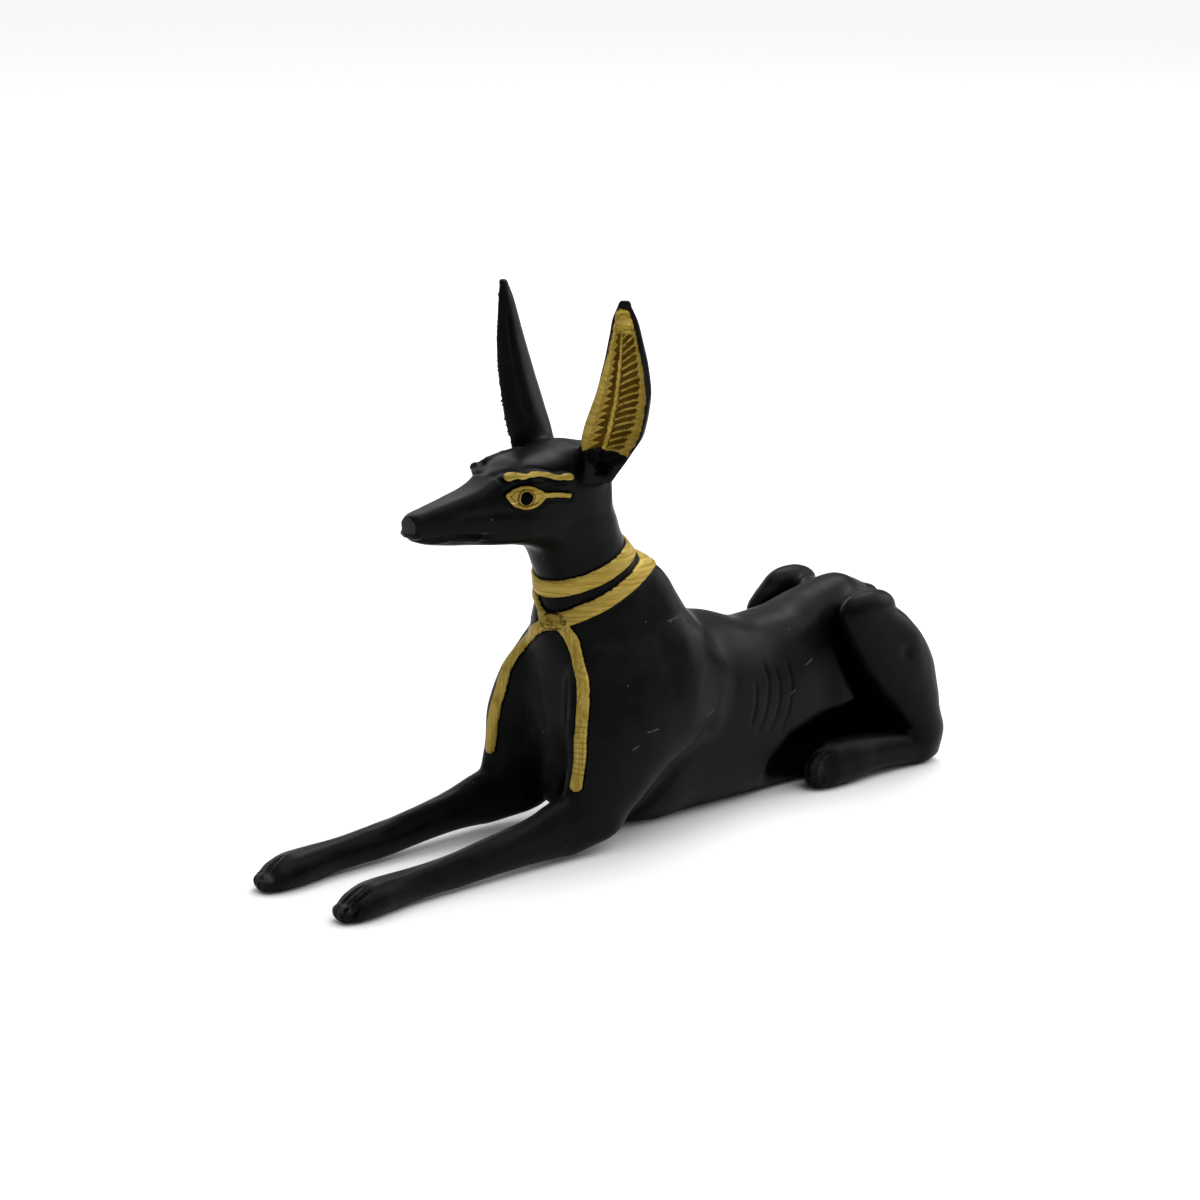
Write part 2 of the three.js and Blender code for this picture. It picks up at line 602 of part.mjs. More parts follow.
class Lattice {
  constructor(field, low, high, pitch) {
    Object.assign(this, { field, low, pitch });
    const blocks = ["x", "y", "z"].map((k) => Math.ceil((high[k] - low[k]) / (pitch * BLOCK)));
    this.count = blocks.map((n) => n * BLOCK + 1);
    this.stride = [1, this.count[0], this.count[0] * this.count[1]];
    this.values = new Float32Array(this.count[0] * this.count[1] * this.count[2]).fill(NaN);
    this.place = new THREE.Vector3();
    this.blocks = [];
    const middle = (BLOCK / 2) * pitch;
    const far = pitch * (BLOCK * 1.3 + 1);
    for (let k = 0; k < blocks[2]; k++) {
      for (let j = 0; j < blocks[1]; j++) {
        for (let i = 0; i < blocks[0]; i++) {
          const corner = [i * BLOCK, j * BLOCK, k * BLOCK];
          this.at(...corner).addScalar(middle);
          if (Math.abs(field(this.place)) < far) this.blocks.push(corner);
        }
      }
    }
    for (const corner of this.blocks) this.measure(corner);
  }

  at(i, j, k) {
    return this.place.set(i, j, k).multiplyScalar(this.pitch).add(this.low);
  }

  measure([i0, j0, k0]) {
    for (let k = k0; k <= k0 + BLOCK; k++) {
      for (let j = j0; j <= j0 + BLOCK; j++) {
        for (let i = i0; i <= i0 + BLOCK; i++) {
          const n = i + j * this.stride[1] + k * this.stride[2];
          if (Number.isNaN(this.values[n])) this.values[n] = this.field(this.at(i, j, k));
        }
      }
    }
  }

  // The triangles of one tetrahedron, each corner being the crossing of the edge between two corners
  static faces(tetrahedron, inside) {
    const ins = tetrahedron.filter((c) => inside(c));
    const outs = tetrahedron.filter((c) => !inside(c));
    if (ins.length === 0 || outs.length === 0) return [];
    const corner = (c) => [c & 1, (c >> 1) & 1, (c >> 2) & 1];
    const [a, b, c, d] = [...ins, ...outs].map(corner);
    const [u, v, w] = [b, c, d].map((q) => q.map((x, n) => x - a[n]));
    const turn = u[0] * (v[1] * w[2] - v[2] * w[1]) + u[1] * (v[2] * w[0] - v[0] * w[2])
      + u[2] * (v[0] * w[1] - v[1] * w[0]);
    let faces;
    if (ins.length === 1) faces = [outs.map((o) => [ins[0], o])];
    else if (ins.length === 3) faces = [ins.map((i) => [i, outs[0]])];
    else {
      const [[i, j], [k, l]] = [ins, outs];
      faces = [[[i, k], [i, l], [j, l]], [[i, k], [j, l], [j, k]]];
    }
    return turn > 0 ? faces : faces.map((face) => face.reverse());
  }

  surface() {
    const table = TETRAHEDRA.map((tetrahedron) => {
      const patterns = [];
      for (let signs = 0; signs < 256; signs++) {
        patterns.push(Lattice.faces(tetrahedron, (c) => (signs >> c) & 1));
      }
      return patterns;
    });
    const offset = (c) => (c & 1) + ((c >> 1) & 1) * this.stride[1] + ((c >> 2) & 1) * this.stride[2];
    const offsets = [0, 1, 2, 3, 4, 5, 6, 7].map(offset);
    const crossings = new Map();
    const places = [];
    const triangles = [];
    const crossing = (base, cell, a, b) => {
      const [low, high] = [a & b, a | b];
      const key = (base + offsets[low]) * 8 + (high ^ low);
      if (crossings.has(key)) return crossings.get(key);
      const [dLow, dHigh] = [this.values[base + offsets[low]], this.values[base + offsets[high]]];
      const t = clamp(dLow / (dLow - dHigh), 0.05, 0.95);
      const along = (bit) => ((low >> bit) & 1) + t * (((high ^ low) >> bit) & 1);
      const place = this.at(cell[0] + along(0), cell[1] + along(1), cell[2] + along(2));
      places.push(place.clone());
      crossings.set(key, places.length - 1);
      return places.length - 1;
    };
    for (const [i0, j0, k0] of this.blocks) {
      for (let n = 0; n < BLOCK ** 3; n++) {
        const [row, level] = [Math.floor(n / BLOCK), Math.floor(n / BLOCK ** 2)];
        const cell = [i0 + (n % BLOCK), j0 + (row % BLOCK), k0 + level];
        const base = cell[0] + cell[1] * this.stride[1] + cell[2] * this.stride[2];
        let signs = 0;
        for (let c = 0; c < 8; c++) if (this.values[base + offsets[c]] < 0) signs |= 1 << c;
        if (signs === 0 || signs === 255) continue;
        for (const patterns of table) {
          for (const face of patterns[signs]) {
            triangles.push(face.map(([a, b]) => crossing(base, cell, a, b)));
          }
        }
      }
    }
    return { places, triangles };
  }
}

// Moves a point onto the surface along the steepest way
const SETTLE_STEP = 0.04;

function settle(place, field) {
  const slope = new THREE.Vector3();
  for (let round = 0; round < 2; round++) {
    const here = field(place);
    for (const k of ["x", "y", "z"]) {
      const start = place[k];
      place[k] = start + SETTLE_STEP;
      slope[k] = (field(place) - here) / SETTLE_STEP;
      place[k] = start;
    }
    const move = clamp(-here / Math.max(slope.lengthSq(), 0.05), -LATTICE / 3, LATTICE / 3);
    place.addScaledVector(slope, move);
  }
}

// Splits the long edges that cross a carved slope or cut a corner, and settles the new points
const SLOPE_HEIGHT = 0.05;

function refine({ places, triangles }, field, carving) {
  const heights = places.map(carving);
  const middles = new Map();
  const fresh = [];
  const middle = (a, b) => {
    const key = Math.min(a, b) * 4194304 + Math.max(a, b);
    if (!middles.has(key)) {
      const place = places[a].clone().lerp(places[b], 0.5);
      const height = carving(place);
      const low = Math.min(height, heights[a], heights[b]);
      const high = Math.max(height, heights[a], heights[b]);
      const long = places[a].distanceTo(places[b]) > FINE_EDGE;
      const split = long && (high - low > SLOPE_HEIGHT || Math.abs(field(place)) > FLATNESS);
      middles.set(key, split ? places.push(place) - 1 : -1);
      if (split) fresh.push(place);
    }
    return middles.get(key);
  };
  const finer = [];
  for (const [a, b, c] of triangles) {
    const corners = [a, b, c];
    const mids = [middle(a, b), middle(b, c), middle(c, a)];
    const splits = mids.filter((m) => m >= 0).length;
    if (splits === 0) finer.push(corners);
    else if (splits === 3) {
      finer.push([a, mids[0], mids[2]], [mids[0], b, mids[1]], [mids[2], mids[1], c], mids);
    } else {
      // turned so that the first edge is split and, where only one is whole, it is the last
      const turn = [0, 1, 2].find((n) => mids[n] >= 0 && (splits === 1 || mids[(n + 1) % 3] >= 0));
      const [p, q, r] = [0, 1, 2].map((n) => corners[(n + turn) % 3]);
      const [first, second] = [mids[turn], mids[(turn + 1) % 3]];
      if (splits === 1) finer.push([p, first, r], [first, q, r]);
      else finer.push([first, q, second], [p, first, second], [p, second, r]);
    }
  }
  for (const place of fresh) settle(place, field);
  return { places, triangles: finer };
}

// A heap of edges, the cheapest to close up first
class Heap {
  constructor() {
    this.items = [];
  }

  push(item) {
    const { items } = this;
    let n = items.push(item) - 1;
    while (n > 0) {
      const parent = (n - 1) >> 1;
      if (items[parent].cost <= item.cost) break;
      items[n] = items[parent];
      n = parent;
    }
    items[n] = item;
  }

  pop() {
    const { items } = this;
    const top = items[0];
    const last = items.pop();
    if (items.length === 0) return top;
    let n = 0;
    for (;;) {
      let child = 2 * n + 1;
      if (child >= items.length) break;
      if (child + 1 < items.length && items[child + 1].cost < items[child].cost) child++;
      if (items[child].cost >= last.cost) break;
      items[n] = items[child];
      n = child;
    }
    items[n] = last;
    return top;
  }
}

// Closes up the edges that matter least to the form until few enough triangles are left. Each corner
// keeps the sum of squared distances to the planes it stands for, as ten numbers of a symmetric matrix.
const SOLE_TOLERANCE = 1e-4;
const EVENNESS = 2e-5; // how much a long edge counts besides the form it would lose
const THINNEST = 0.06; // the least height of a triangle as a share of its longest side
const LEAST_TURN = 0.35; // cosine of the most that a triangle may turn
const CARVED_WEIGHT = 10; // how much more than the plain form a carved slope counts

class Thinner {
  constructor({ places, triangles }, carving) {
    this.places = places;
    this.heights = places.map(carving);
    this.faces = triangles;
    this.around = places.map(() => new Set());
    this.planes = places.map(() => new Float64Array(10));
    this.level = places.map((place) => Math.abs(place.z) < SOLE_TOLERANCE);
    this.age = new Uint32Array(places.length);
    this.left = triangles.length;
    this.heap = new Heap();
    this.normal = new THREE.Vector3();
    triangles.forEach((face, n) => {
      face.forEach((corner) => this.around[corner].add(n));
      this.addPlane(face);
    });
    triangles.forEach(([a, b, c]) => {
      for (const [u, v] of [[a, b], [b, c], [c, a]]) if (u < v) this.offer(u, v);
    });
  }

  addPlane([a, b, c]) {
    const { places, heights, normal } = this;
    const rise = Math.max(heights[a], heights[b], heights[c]) - Math.min(heights[a], heights[b], heights[c]);
    const weight = rise > SLOPE_HEIGHT ? CARVED_WEIGHT : 1;
    const side = reach.subVectors(places[c], places[a]);
    normal.subVectors(places[b], places[a]).cross(side);
    const area = normal.length() / 2;
    if (area === 0) return;
    normal.normalize();
    const d = -normal.dot(places[a]);
    const row = [normal.x, normal.y, normal.z, d];
    let n = 0;
    for (let i = 0; i < 4; i++) {
      for (let j = i; j < 4; j++, n++) {
        for (const corner of [a, b, c]) this.planes[corner][n] += (weight * area * row[i] * row[j]) / 3;
      }
    }
  }

  static loss(q, { x, y, z }) {
    return q[0] * x * x + q[4] * y * y + q[7] * z * z + q[9]
      + 2 * (q[1] * x * y + q[2] * x * z + q[5] * y * z + q[3] * x + q[6] * y + q[8] * z);
  }

  // The place for the joined corner: where the loss is least, or on the edge where that is unclear
  best(u, v, q) {
    const [pu, pv] = [this.places[u], this.places[v]];
    const middle = pu.clone().lerp(pv, 0.5);
    const level = this.level[u] || this.level[v];
    const options = [middle, pu.clone(), pv.clone()];
    if (level) {
      for (const option of options) option.z = 0;
      const det = q[0] * q[4] - q[1] * q[1];
      if (det > 1e-3 * (q[0] + q[4]) ** 2) {
        const [x, y] = [(q[1] * q[6] - q[4] * q[3]) / det, (q[1] * q[3] - q[0] * q[6]) / det];
        options.push(new THREE.Vector3(x, y, 0));
      }
    } else {
      const matrix = new THREE.Matrix3(q[0], q[1], q[2], q[1], q[4], q[5], q[2], q[5], q[7]);
      if (matrix.determinant() > 1e-3 * ((q[0] + q[4] + q[7]) / 3) ** 3) {
        options.push(new THREE.Vector3(-q[3], -q[6], -q[8]).applyMatrix3(matrix.invert()));
      }
    }
    const near = 4 * pu.distanceToSquared(pv);
    let [place, loss] = [null, Infinity];
    for (const option of options) {
      option.z = Math.max(option.z, 0);
      if (option.distanceToSquared(middle) > near) continue;
      const value = Thinner.loss(q, option);
      if (value < loss) [place, loss] = [option, value];
    }
    return { place, loss };
  }

  offer(u, v) {
    const q = this.planes[u].map((x, n) => x + this.planes[v][n]);
    const { place, loss } = this.best(u, v, q);
    const cost = loss + EVENNESS * this.places[u].distanceToSquared(this.places[v]) ** 1.5;
    this.heap.push({ cost, u, v, place, age: this.age[u] + this.age[v] });
  }

  neighbours(u) {
    const found = new Set();
    for (const n of this.around[u]) for (const corner of this.faces[n]) found.add(corner);
    found.delete(u);
    return found;
  }

  // Whether the faces round a corner keep their turn and stay plump when the corner moves
  keeps(u, v, place) {
    const [before, after, side] = [new THREE.Vector3(), new THREE.Vector3(), new THREE.Vector3()];
    for (const n of this.around[u]) {
      const face = this.faces[n];
      if (face.includes(v)) continue;
      const [a, b, c] = face.map((corner) => this.places[corner]);
      const [d, e, f] = face.map((corner) => (corner === u ? place : this.places[corner]));
      before.subVectors(b, a).cross(side.subVectors(c, a));
      after.subVectors(e, d).cross(side.subVectors(f, d));
      const longest = Math.max(d.distanceToSquared(e), e.distanceToSquared(f), f.distanceToSquared(d));
      const area = after.length();
      if (area < THINNEST * longest) return false;
      if (before.dot(after) < LEAST_TURN * area * before.length()) return false;
    }
    return true;
  }

  close({ u, v, place }) {
    const shared = [...this.around[u]].filter((n) => this.around[v].has(n));
    if (shared.length !== 2) return;
    const others = this.neighbours(v);
    const common = [...this.neighbours(u)].filter((w) => others.has(w));
    if (common.length !== 2) return;
    if (!this.keeps(u, v, place) || !this.keeps(v, u, place)) return;
    for (const n of shared) {
      for (const corner of this.faces[n]) this.around[corner].delete(n);
      this.faces[n] = null;
    }
    for (const n of this.around[v]) {
      this.faces[n] = this.faces[n].map((corner) => (corner === v ? u : corner));
      this.around[u].add(n);
    }
    this.around[v] = null;
    this.planes[v].forEach((x, n) => (this.planes[u][n] += x));
    this.places[u] = place;
    this.level[u] ||= this.level[v];
    this.left -= 2;
    const ring = this.neighbours(u);
    this.age[u]++;
    for (const w of ring) this.offer(Math.min(u, w), Math.max(u, w));
  }

  reduce(target) {
    while (this.left > target && this.heap.items.length > 0) {
      const edge = this.heap.pop();
      const fresh = this.around[edge.u] && this.around[edge.v]
        && this.age[edge.u] + this.age[edge.v] === edge.age;
      if (fresh) this.close(edge);
    }
    const used = new Map();
    const index = [];
    const positions = [];
    for (const face of this.faces) {
      if (!face) continue;
      for (const corner of face) {
        if (!used.has(corner)) {
          used.set(corner, used.size);
          positions.push(...this.places[corner].toArray());
        }
        index.push(used.get(corner));
      }
    }
    return { index, positions };
  }
}

function figureGeometry() {
  const margin = 3 * UNIT;
  const low = point(-30, -108, 0).addScalar(-margin);
  const high = point(30, 104, 143).addScalar(margin);
  const carving = (p) => relief(p, leftSide.set(Math.abs(p.x), p.y, p.z));
  const lattice = new Lattice(figure, low, high, LATTICE);
  let shell = lattice.surface();
  for (const place of shell.places) if (Math.abs(place.z) < LATTICE / 1000) place.z = 0;
  shell = refine(refine(shell, figure, carving), figure, carving);
  for (const place of shell.places) if (Math.abs(place.z) < SOLE_ROUNDING / 100) place.z = 0;
  const { index, positions } = new Thinner(shell, carving).reduce(TRIANGLES);
  const geometry = new THREE.BufferGeometry();
  geometry.setIndex(index);
  geometry.setAttribute("position", new THREE.Float32BufferAttribute(positions, 3));
  geometry.computeBoundingBox();
  const middle = geometry.boundingBox.getCenter(new THREE.Vector3());
  geometry.translate(-middle.x, -middle.y, 0);
  geometry.computeVertexNormals();
  return geometry;
}

const resin = new THREE.MeshStandardMaterial({ color: 0x141517, roughness: 0.42, metalness: 0 });

const jackal = new THREE.Mesh(figureGeometry(), resin);
jackal.name = "anubis_jackal";

const group = new THREE.Group();
group.add(jackal);

export default group;
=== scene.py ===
"""The recumbent jackal: a fine mesh of the casting, its black and gold paint, a pale floor and soft light."""

import math

import bpy
import numpy as np
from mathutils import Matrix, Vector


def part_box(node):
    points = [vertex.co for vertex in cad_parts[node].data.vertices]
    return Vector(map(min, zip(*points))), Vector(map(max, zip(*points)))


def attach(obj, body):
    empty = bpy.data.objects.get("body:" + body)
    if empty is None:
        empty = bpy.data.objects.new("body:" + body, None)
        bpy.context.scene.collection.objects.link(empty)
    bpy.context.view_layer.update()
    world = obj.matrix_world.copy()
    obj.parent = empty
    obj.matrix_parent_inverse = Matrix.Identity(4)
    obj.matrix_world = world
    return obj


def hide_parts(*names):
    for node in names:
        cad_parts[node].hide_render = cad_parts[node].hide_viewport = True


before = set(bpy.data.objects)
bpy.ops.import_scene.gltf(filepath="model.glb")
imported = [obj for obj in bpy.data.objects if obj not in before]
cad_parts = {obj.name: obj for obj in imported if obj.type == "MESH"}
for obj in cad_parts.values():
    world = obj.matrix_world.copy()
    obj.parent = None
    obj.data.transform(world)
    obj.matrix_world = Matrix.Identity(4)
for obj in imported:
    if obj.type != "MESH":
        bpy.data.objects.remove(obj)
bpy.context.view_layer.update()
low, high = (np.array(corner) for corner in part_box("anubis_jackal"))

# The figure is laid out in parts, 207 to its length. +Z is up, it faces -Y, its left side is towards +X.
X, Y, Z = 0, 1, 2
ANY = (-999, 999)


def boxed(p, x=ANY, y=ANY, z=ANY):
    """Which points lie between the limits across, along and up."""
    lows, highs = np.transpose([x, y, z])
    return ((p > lows) & (p < highs)).all(1)


def mirrored(p):
    """The points brought over to the left side."""
    return np.abs(p * [1, 0, 0]) + p * [0, 1, 1]


def lengths(arms):
    return np.linalg.norm(arms, axis=1)


def ramp(x):
    t = np.clip(x, 0, 1)
    return t * t * (3 - 2 * t)


def bump(x):
    return ramp(1 - np.abs(x))


def join(a, b, radius):
    """Smooth meeting of two fields, as a fillet of about that radius."""
    h = np.maximum(radius - np.abs(a - b), 0) / radius
    return np.minimum(a, b) - h * h * h * radius / 6


def trim(a, b, radius):
    return -join(-a, -b, radius)


def noise(p, size, seed):
    """Smooth noise from -1 to 1, with lumps of about that size."""
    q = p / size + 7.31 * seed
    cell = np.floor(q).astype(np.int64)
    f = ramp(q - cell)
    total = np.zeros(len(p))
    for corner in np.ndindex(2, 2, 2):
        c = cell + corner
        h = (c[:, 0] * 73856093) ^ (c[:, 1] * 19349663) ^ (c[:, 2] * 83492791) ^ (seed * 2654435761)
        h = ((h ^ (h >> 13)) * 1274126177) & 0xFFFFFFFF
        h = (h ^ (h >> 15)) & 0xFFFF
        weight = np.prod(np.where(corner, f, 1 - f), axis=1)
        total += weight * (h / 32767.5 - 1)
    return total


class Profile:
    """A smooth curve through the knots that never overshoots them."""

    def __init__(self, knots, values):
        k, v = np.asarray(knots, float), np.asarray(values, float)
        slope = np.diff(v) / np.diff(k)
        tangent = np.zeros_like(v)
        tangent[0], tangent[-1] = slope[0], slope[-1]
        for i in range(1, len(v) - 1):
            if slope[i - 1] * slope[i] > 0:
                before, after = k[i] - k[i - 1], k[i + 1] - k[i]
                w0, w1 = 2 * after + before, after + 2 * before
                tangent[i] = (w0 + w1) / (w0 / slope[i - 1] + w1 / slope[i])
        self.x = np.linspace(k[0], k[-1], 257)
        i = np.clip(np.searchsorted(k, self.x, side="right") - 1, 0, len(k) - 2)
        h = k[i + 1] - k[i]
        t = (self.x - k[i]) / h
        self.y = ((1 + 2 * t) * (1 - t) ** 2 * v[i] + t * (1 - t) ** 2 * h * tangent[i]
                  + t * t * (3 - 2 * t) * v[i + 1] + t * t * (t - 1) * h * tangent[i + 1])

    def __call__(self, x):
        return np.interp(x, self.x, self.y)


def oval(u, v, w, a, b, c, power):
    """Distance to a rounded box-like oval of half sizes a, b, c; the power squares it up."""
    f = np.maximum((u / a) ** power + (v / b) ** power + (w / c) ** power, 1e-9) ** (1 / power)
    px, py, pz = (u / a) ** (power - 1), (v / b) ** (power - 1), (w / c) ** (power - 1)
    steep = np.sqrt((px / a) ** 2 + (py / b) ** 2 + (pz / c) ** 2) / f ** (power - 1)
    return (f - 1) / np.maximum(steep, 0.02)


class Limb:
    """Oval sections strung along one axis: place, centre across and up, half width, reach up and down, power, taper."""

    def __init__(self, along, across, up, caps, stations, power=2.2):
        rows = sorted((*s, *(power, 0.0)[len(s) - 6:]) for s in stations)
        self.along, self.across, self.up, self.caps = along, across, up, caps
        place, *columns = np.array(rows).T
        self.first, self.last = place[0], place[-1]
        self.curves = [Profile(place, column) for column in columns]
        cu, cv, half, over, under, _, _ = columns
        axes = [along, across, up]
        self.low, self.high = np.zeros(3), np.zeros(3)
        self.low[axes] = self.first - caps[0], min(cu - 1.1 * half), min(cv - under)
        self.high[axes] = self.last + caps[1], max(cu + 1.1 * half), max(cv + over)

    def __call__(self, p):
        k = p[:, self.along]
        t = np.clip(k, self.first, self.last)
        cu, cv, half, over, under, power, taper = (curve(t) for curve in self.curves)
        v = p[:, self.up] - cv
        reach = np.where(v > 0, over, under)
        width = half * (1 + taper * np.clip(v / reach, -1.2, 1.2))
        cap = np.where(k > t, self.caps[1], self.caps[0])
        return oval(np.abs(p[:, self.across] - cu), np.abs(v), np.abs(k - t), width, reach, cap, power)


LENGTHWISE = (Y, X, Z)
UPRIGHT = (Z, X, Y)

torso = Limb(*LENGTHWISE, (9.5, 6.2), [
    (-15, 0, 33, 13, 13, 25),
    (-6, 0, 28, 16.5, 21, 27),
    (5, 0, 26, 17.5, 24.9, 27.4),
    (16, 0, 24, 17.3, 27.8, 25.4, 2.1),
    (28, 0, 22, 16.7, 28.7, 23.4),
    (45, 0, 20, 15.4, 26.2, 21.4, 2.4),
    (57, 0, 20, 14.4, 26.8, 21.4, 2.6),
    (66, 0, 20, 13.4, 29.4, 21.4, 2.4),
    (80, 0, 20, 13, 31.8, 21.4),
    (88, 0, 20, 12, 28.2, 21.4, 2.1),
    (93, 0, 20, 10.6, 22, 20.8, 2.1),
])

neck = Limb(*UPRIGHT, (14, 4), [
    (40, 0, 0, 15.5, 22, 24, 2.2),
    (48, 0, -1, 15.5, 21, 24.8, 2.2),
    (55, 0, -4, 14.4, 20.6, 22.8),
    (62, 0, -8, 12.2, 17.2, 17.6),
    (68, 0, -11, 11.1, 14.5, 14.9),
    (74, 0, -14, 10.6, 13.3, 14.1),
    (80, 0, -16, 10.3, 11.9, 13.7),
    (86, 0, -17, 10, 10.9, 13, 2),
    (93, 0, -18, 9.4, 10.2, 10, 2),
], power=2.1)

skull = Limb(*LENGTHWISE, (1, 4.2), [
    (-69, 0, 87.6, 3.2, 3.8, 3, 2.6, -0.05),
    (-65, 0, 87.7, 3.7, 4.6, 4.5, 2.6, -0.06),
    (-58, 0, 88, 4.7, 5.8, 6.1, 2.6, -0.08),
    (-50, 0, 88.5, 5.8, 7.2, 7.7, 2.6, -0.08),
    (-45, 0, 89, 6.9, 8.2, 8.9, 3.2, -0.04),
    (-41, 0, 89.5, 8.3, 9.1, 9.7, 4),
    (-36, 0, 90, 9.6, 10.5, 11.3, 3.3),
    (-28, 0, 90, 10.6, 11.6, 12.8, 2.7),
    (-20, 0, 90, 11, 12.8, 13.3, 2.4),
    (-13, 0, 89.5, 9.8, 12, 12, 2.1),
])
muzzle_top = Profile([-72, -66, -58, -50, -45, -41, -38], [90.6, 91.6, 93.1, 94.8, 96.8, 99.6, 104.2])

upper_arm = Limb(*UPRIGHT, (4, 12), [
    (4, 14.2, -20, 5.2, 6.8, 7),
    (9, 14.7, -19, 5.9, 8.4, 9.8),
    (17, 15.4, -14, 6.9, 11.3, 17.6),
    (23, 15.3, -10, 7.5, 15.6, 20.8),
    (33, 14.6, -7, 8.2, 18.5, 23.2),
    (42, 12.9, -4, 8, 18.6, 23.7),
    (50, 10, -1, 6.7, 15, 21.8),
    (56, 7, 0, 4.4, 9, 14.6),
], power=2.1)

forearm = Limb(*LENGTHWISE, (2, 6), [
    (-103, 15.2, 2.4, 3.6, 2.2, 2.4),
    (-99.5, 15.2, 3, 5, 3.8, 3.4),
    (-95, 15.1, 3.6, 5.2, 4.6, 4),
    (-89, 15, 3.9, 4.5, 4.6, 4.1),
    (-81, 15, 4.1, 3.7, 4.5, 3.7),
    (-70, 15, 4.4, 3.6, 5, 3.9),
    (-55, 15.1, 4.9, 3.7, 6.4, 4.4),
    (-45, 15.2, 5.3, 4, 7.6, 4.9),
    (-34, 15.3, 5.6, 4.5, 10.3, 5.5),
    (-22, 15.4, 6, 5.1, 11.9, 6.5),
], power=2.0)

haunch = Limb(*UPRIGHT, (2.5, 6), [
    (3, 18.4, 95, 4.2, 6.4, 5),
    (8, 18.9, 95, 4.8, 7.2, 5.6),
    (14, 19.1, 93, 5.1, 7.4, 7.4),
    (20.5, 18.8, 89.5, 5.3, 10.4, 9.4),
    (30, 18, 85.5, 5.4, 12.2, 12.8, 2.2),
    (37, 17.3, 82, 5.1, 11.6, 13.2, 2.4),
    (42, 16.9, 78.3, 4.7, 10.2, 12, 2.3),
    (45, 16.7, 74.8, 4.4, 10, 10, 2.1),
], power=2.05)

hind_foot = Limb(*LENGTHWISE, (3.2, 6.6), [
    (56, 17, 4.4, 4.3, 6.4, 4.4),
    (60, 17.2, 4.8, 5.2, 7.6, 5.1),
    (66, 17.4, 4.8, 5.2, 7.7, 5.1),
    (76, 17.6, 4.8, 4.6, 6.9, 4.8),
    (93, 18.4, 5, 4.4, 4.9, 5.4),
], power=2.0)

# The casting is filled in between the belly and the hind feet, low down
web = Limb(*LENGTHWISE, (3, 3), [
    (62, 11.4, 0, 3.4, 5, 4),
    (70, 11.2, 0, 4, 5.6, 4),
    (82, 10.8, 0, 4.6, 5.8, 4),
    (93, 10.4, 0, 5.2, 5.8, 4),
], power=2.0)

# The flank is cut in deeply before the thigh and over the hind foot, less deeply over the thigh's upper end
flank_hollow = np.array([
    (12.4, 62, 51.5, 1.6), (14.2, 67.5, 48, 4), (15.8, 70.5, 42, 5.6), (16.2, 74, 34, 6.2),
    (16.2, 79, 25, 6.6), (14.4, 81, 17, 6.8), (13.8, 72, 12.5, 6.4), (14.2, 61, 11, 6.6),
    (14.6, 51, 8.8, 6.4), (15.4, 46, 6.8, 5.2)])

hip = Limb(*LENGTHWISE, (6, 6), [
    (70, 9, 27, 5.5, 17, 24),
    (80, 10, 27, 9.2, 22, 26),
    (88, 11, 25, 9, 18.4, 23),
    (93, 10, 21, 7.4, 12.5, 19),
], power=2.0)


# The ear: its open face as a share of the thickness, the foot of its hollow, and how much wider its rim is behind
EAR_FACE, HOLLOW_FOOT, REAR_RIM = 0.62, 7.2, 0.35


class Ear:
    """A tapering blade, rounded behind and cut open in front along its whole height."""

    def __init__(self):
        self.base = np.array([11.3, -17.5, 95.5])
        self.tip = np.array([22.1, -19.0, 138.7])
        stalk = self.tip - self.base
        self.height = np.linalg.norm(stalk)
        self.axis = stalk / self.height
        turned = math.radians(57)
        front = np.array([math.sin(turned), -math.cos(turned), 0.0])
        front -= self.axis * (front @ self.axis)
        self.front = front / np.linalg.norm(front)
        side = np.cross(self.axis, self.front)
        self.side = side if side[1] > 0 else -side
        knots = [0, 7, 13, 23, 30, 37, 41, self.height]
        self.half = Profile(knots, [4.2, 6.3, 7.45, 6.75, 5.6, 4.1, 3.2, 1.6])
        self.thick = Profile(knots, [5.4, 6.2, 5.7, 4.8, 3.9, 2.8, 2.1, 1.2])
        self.lean = Profile(knots, [-0.7, 0.3, 1.55, 2.45, 2.0, 1.05, 0.4, -0.2])
        self.swell = Profile(knots, [0.8, 1.5, 2.1, 2.5, 2.1, 1.2, 0.6, 0.1])
        self.plain_half = Profile(knots, [2.0, 3.7, 4.7, 4.0, 2.9, 1.6, 0.9, 0.2])
        self.wide_half = Profile(knots, [2.8, 5.0, 5.9, 5.2, 4.1, 2.75, 1.95, 0.6])
        self.depth = Profile(knots, [2.0, 4.4, 5.0, 4.4, 3.4, 2.2, 1.4, 0.4])
        self.low, self.high = np.minimum(self.base, self.tip) - 10, np.maximum(self.base, self.tip) + 10

    def place(self, m):
        """Across, out and along the ear, and the height along it where its sections are read."""
        arm = m - self.base
        s = arm @ self.axis
        t = np.clip(s, 0, self.height)
        return arm @ self.side - self.lean(t), arm @ self.front - self.swell(t), s, t

    def hollow(self, m, half, ends):
        u, v, s, t = self.place(m)
        inner = np.clip(s, ends[0], self.height - ends[1])
        rim = REAR_RIM if half is self.wide_half else 0.0
        return oval(np.abs(u + rim), np.abs(v - EAR_FACE * self.thick(t)), np.abs(s - inner),
                    half(inner), self.depth(inner), 3.0, 2.0)

    def __call__(self, m, fine):
        u, v, s, t = self.place(m)
        thick = self.thick(t)
        blade = oval(np.abs(u), np.abs(v), np.abs(s - t), self.half(t), thick, 1.5, 2.1)
        softness = np.minimum(0.85, 0.4 * thick)
        blade = trim(blade, v - EAR_FACE * thick, softness)
        if fine:
            return trim(blade, -self.hollow(m, self.wide_half, (HOLLOW_FOOT, 4.5)), softness)
        return trim(blade, -self.hollow(m, self.plain_half, (4, 9)), softness)


ear = Ear()


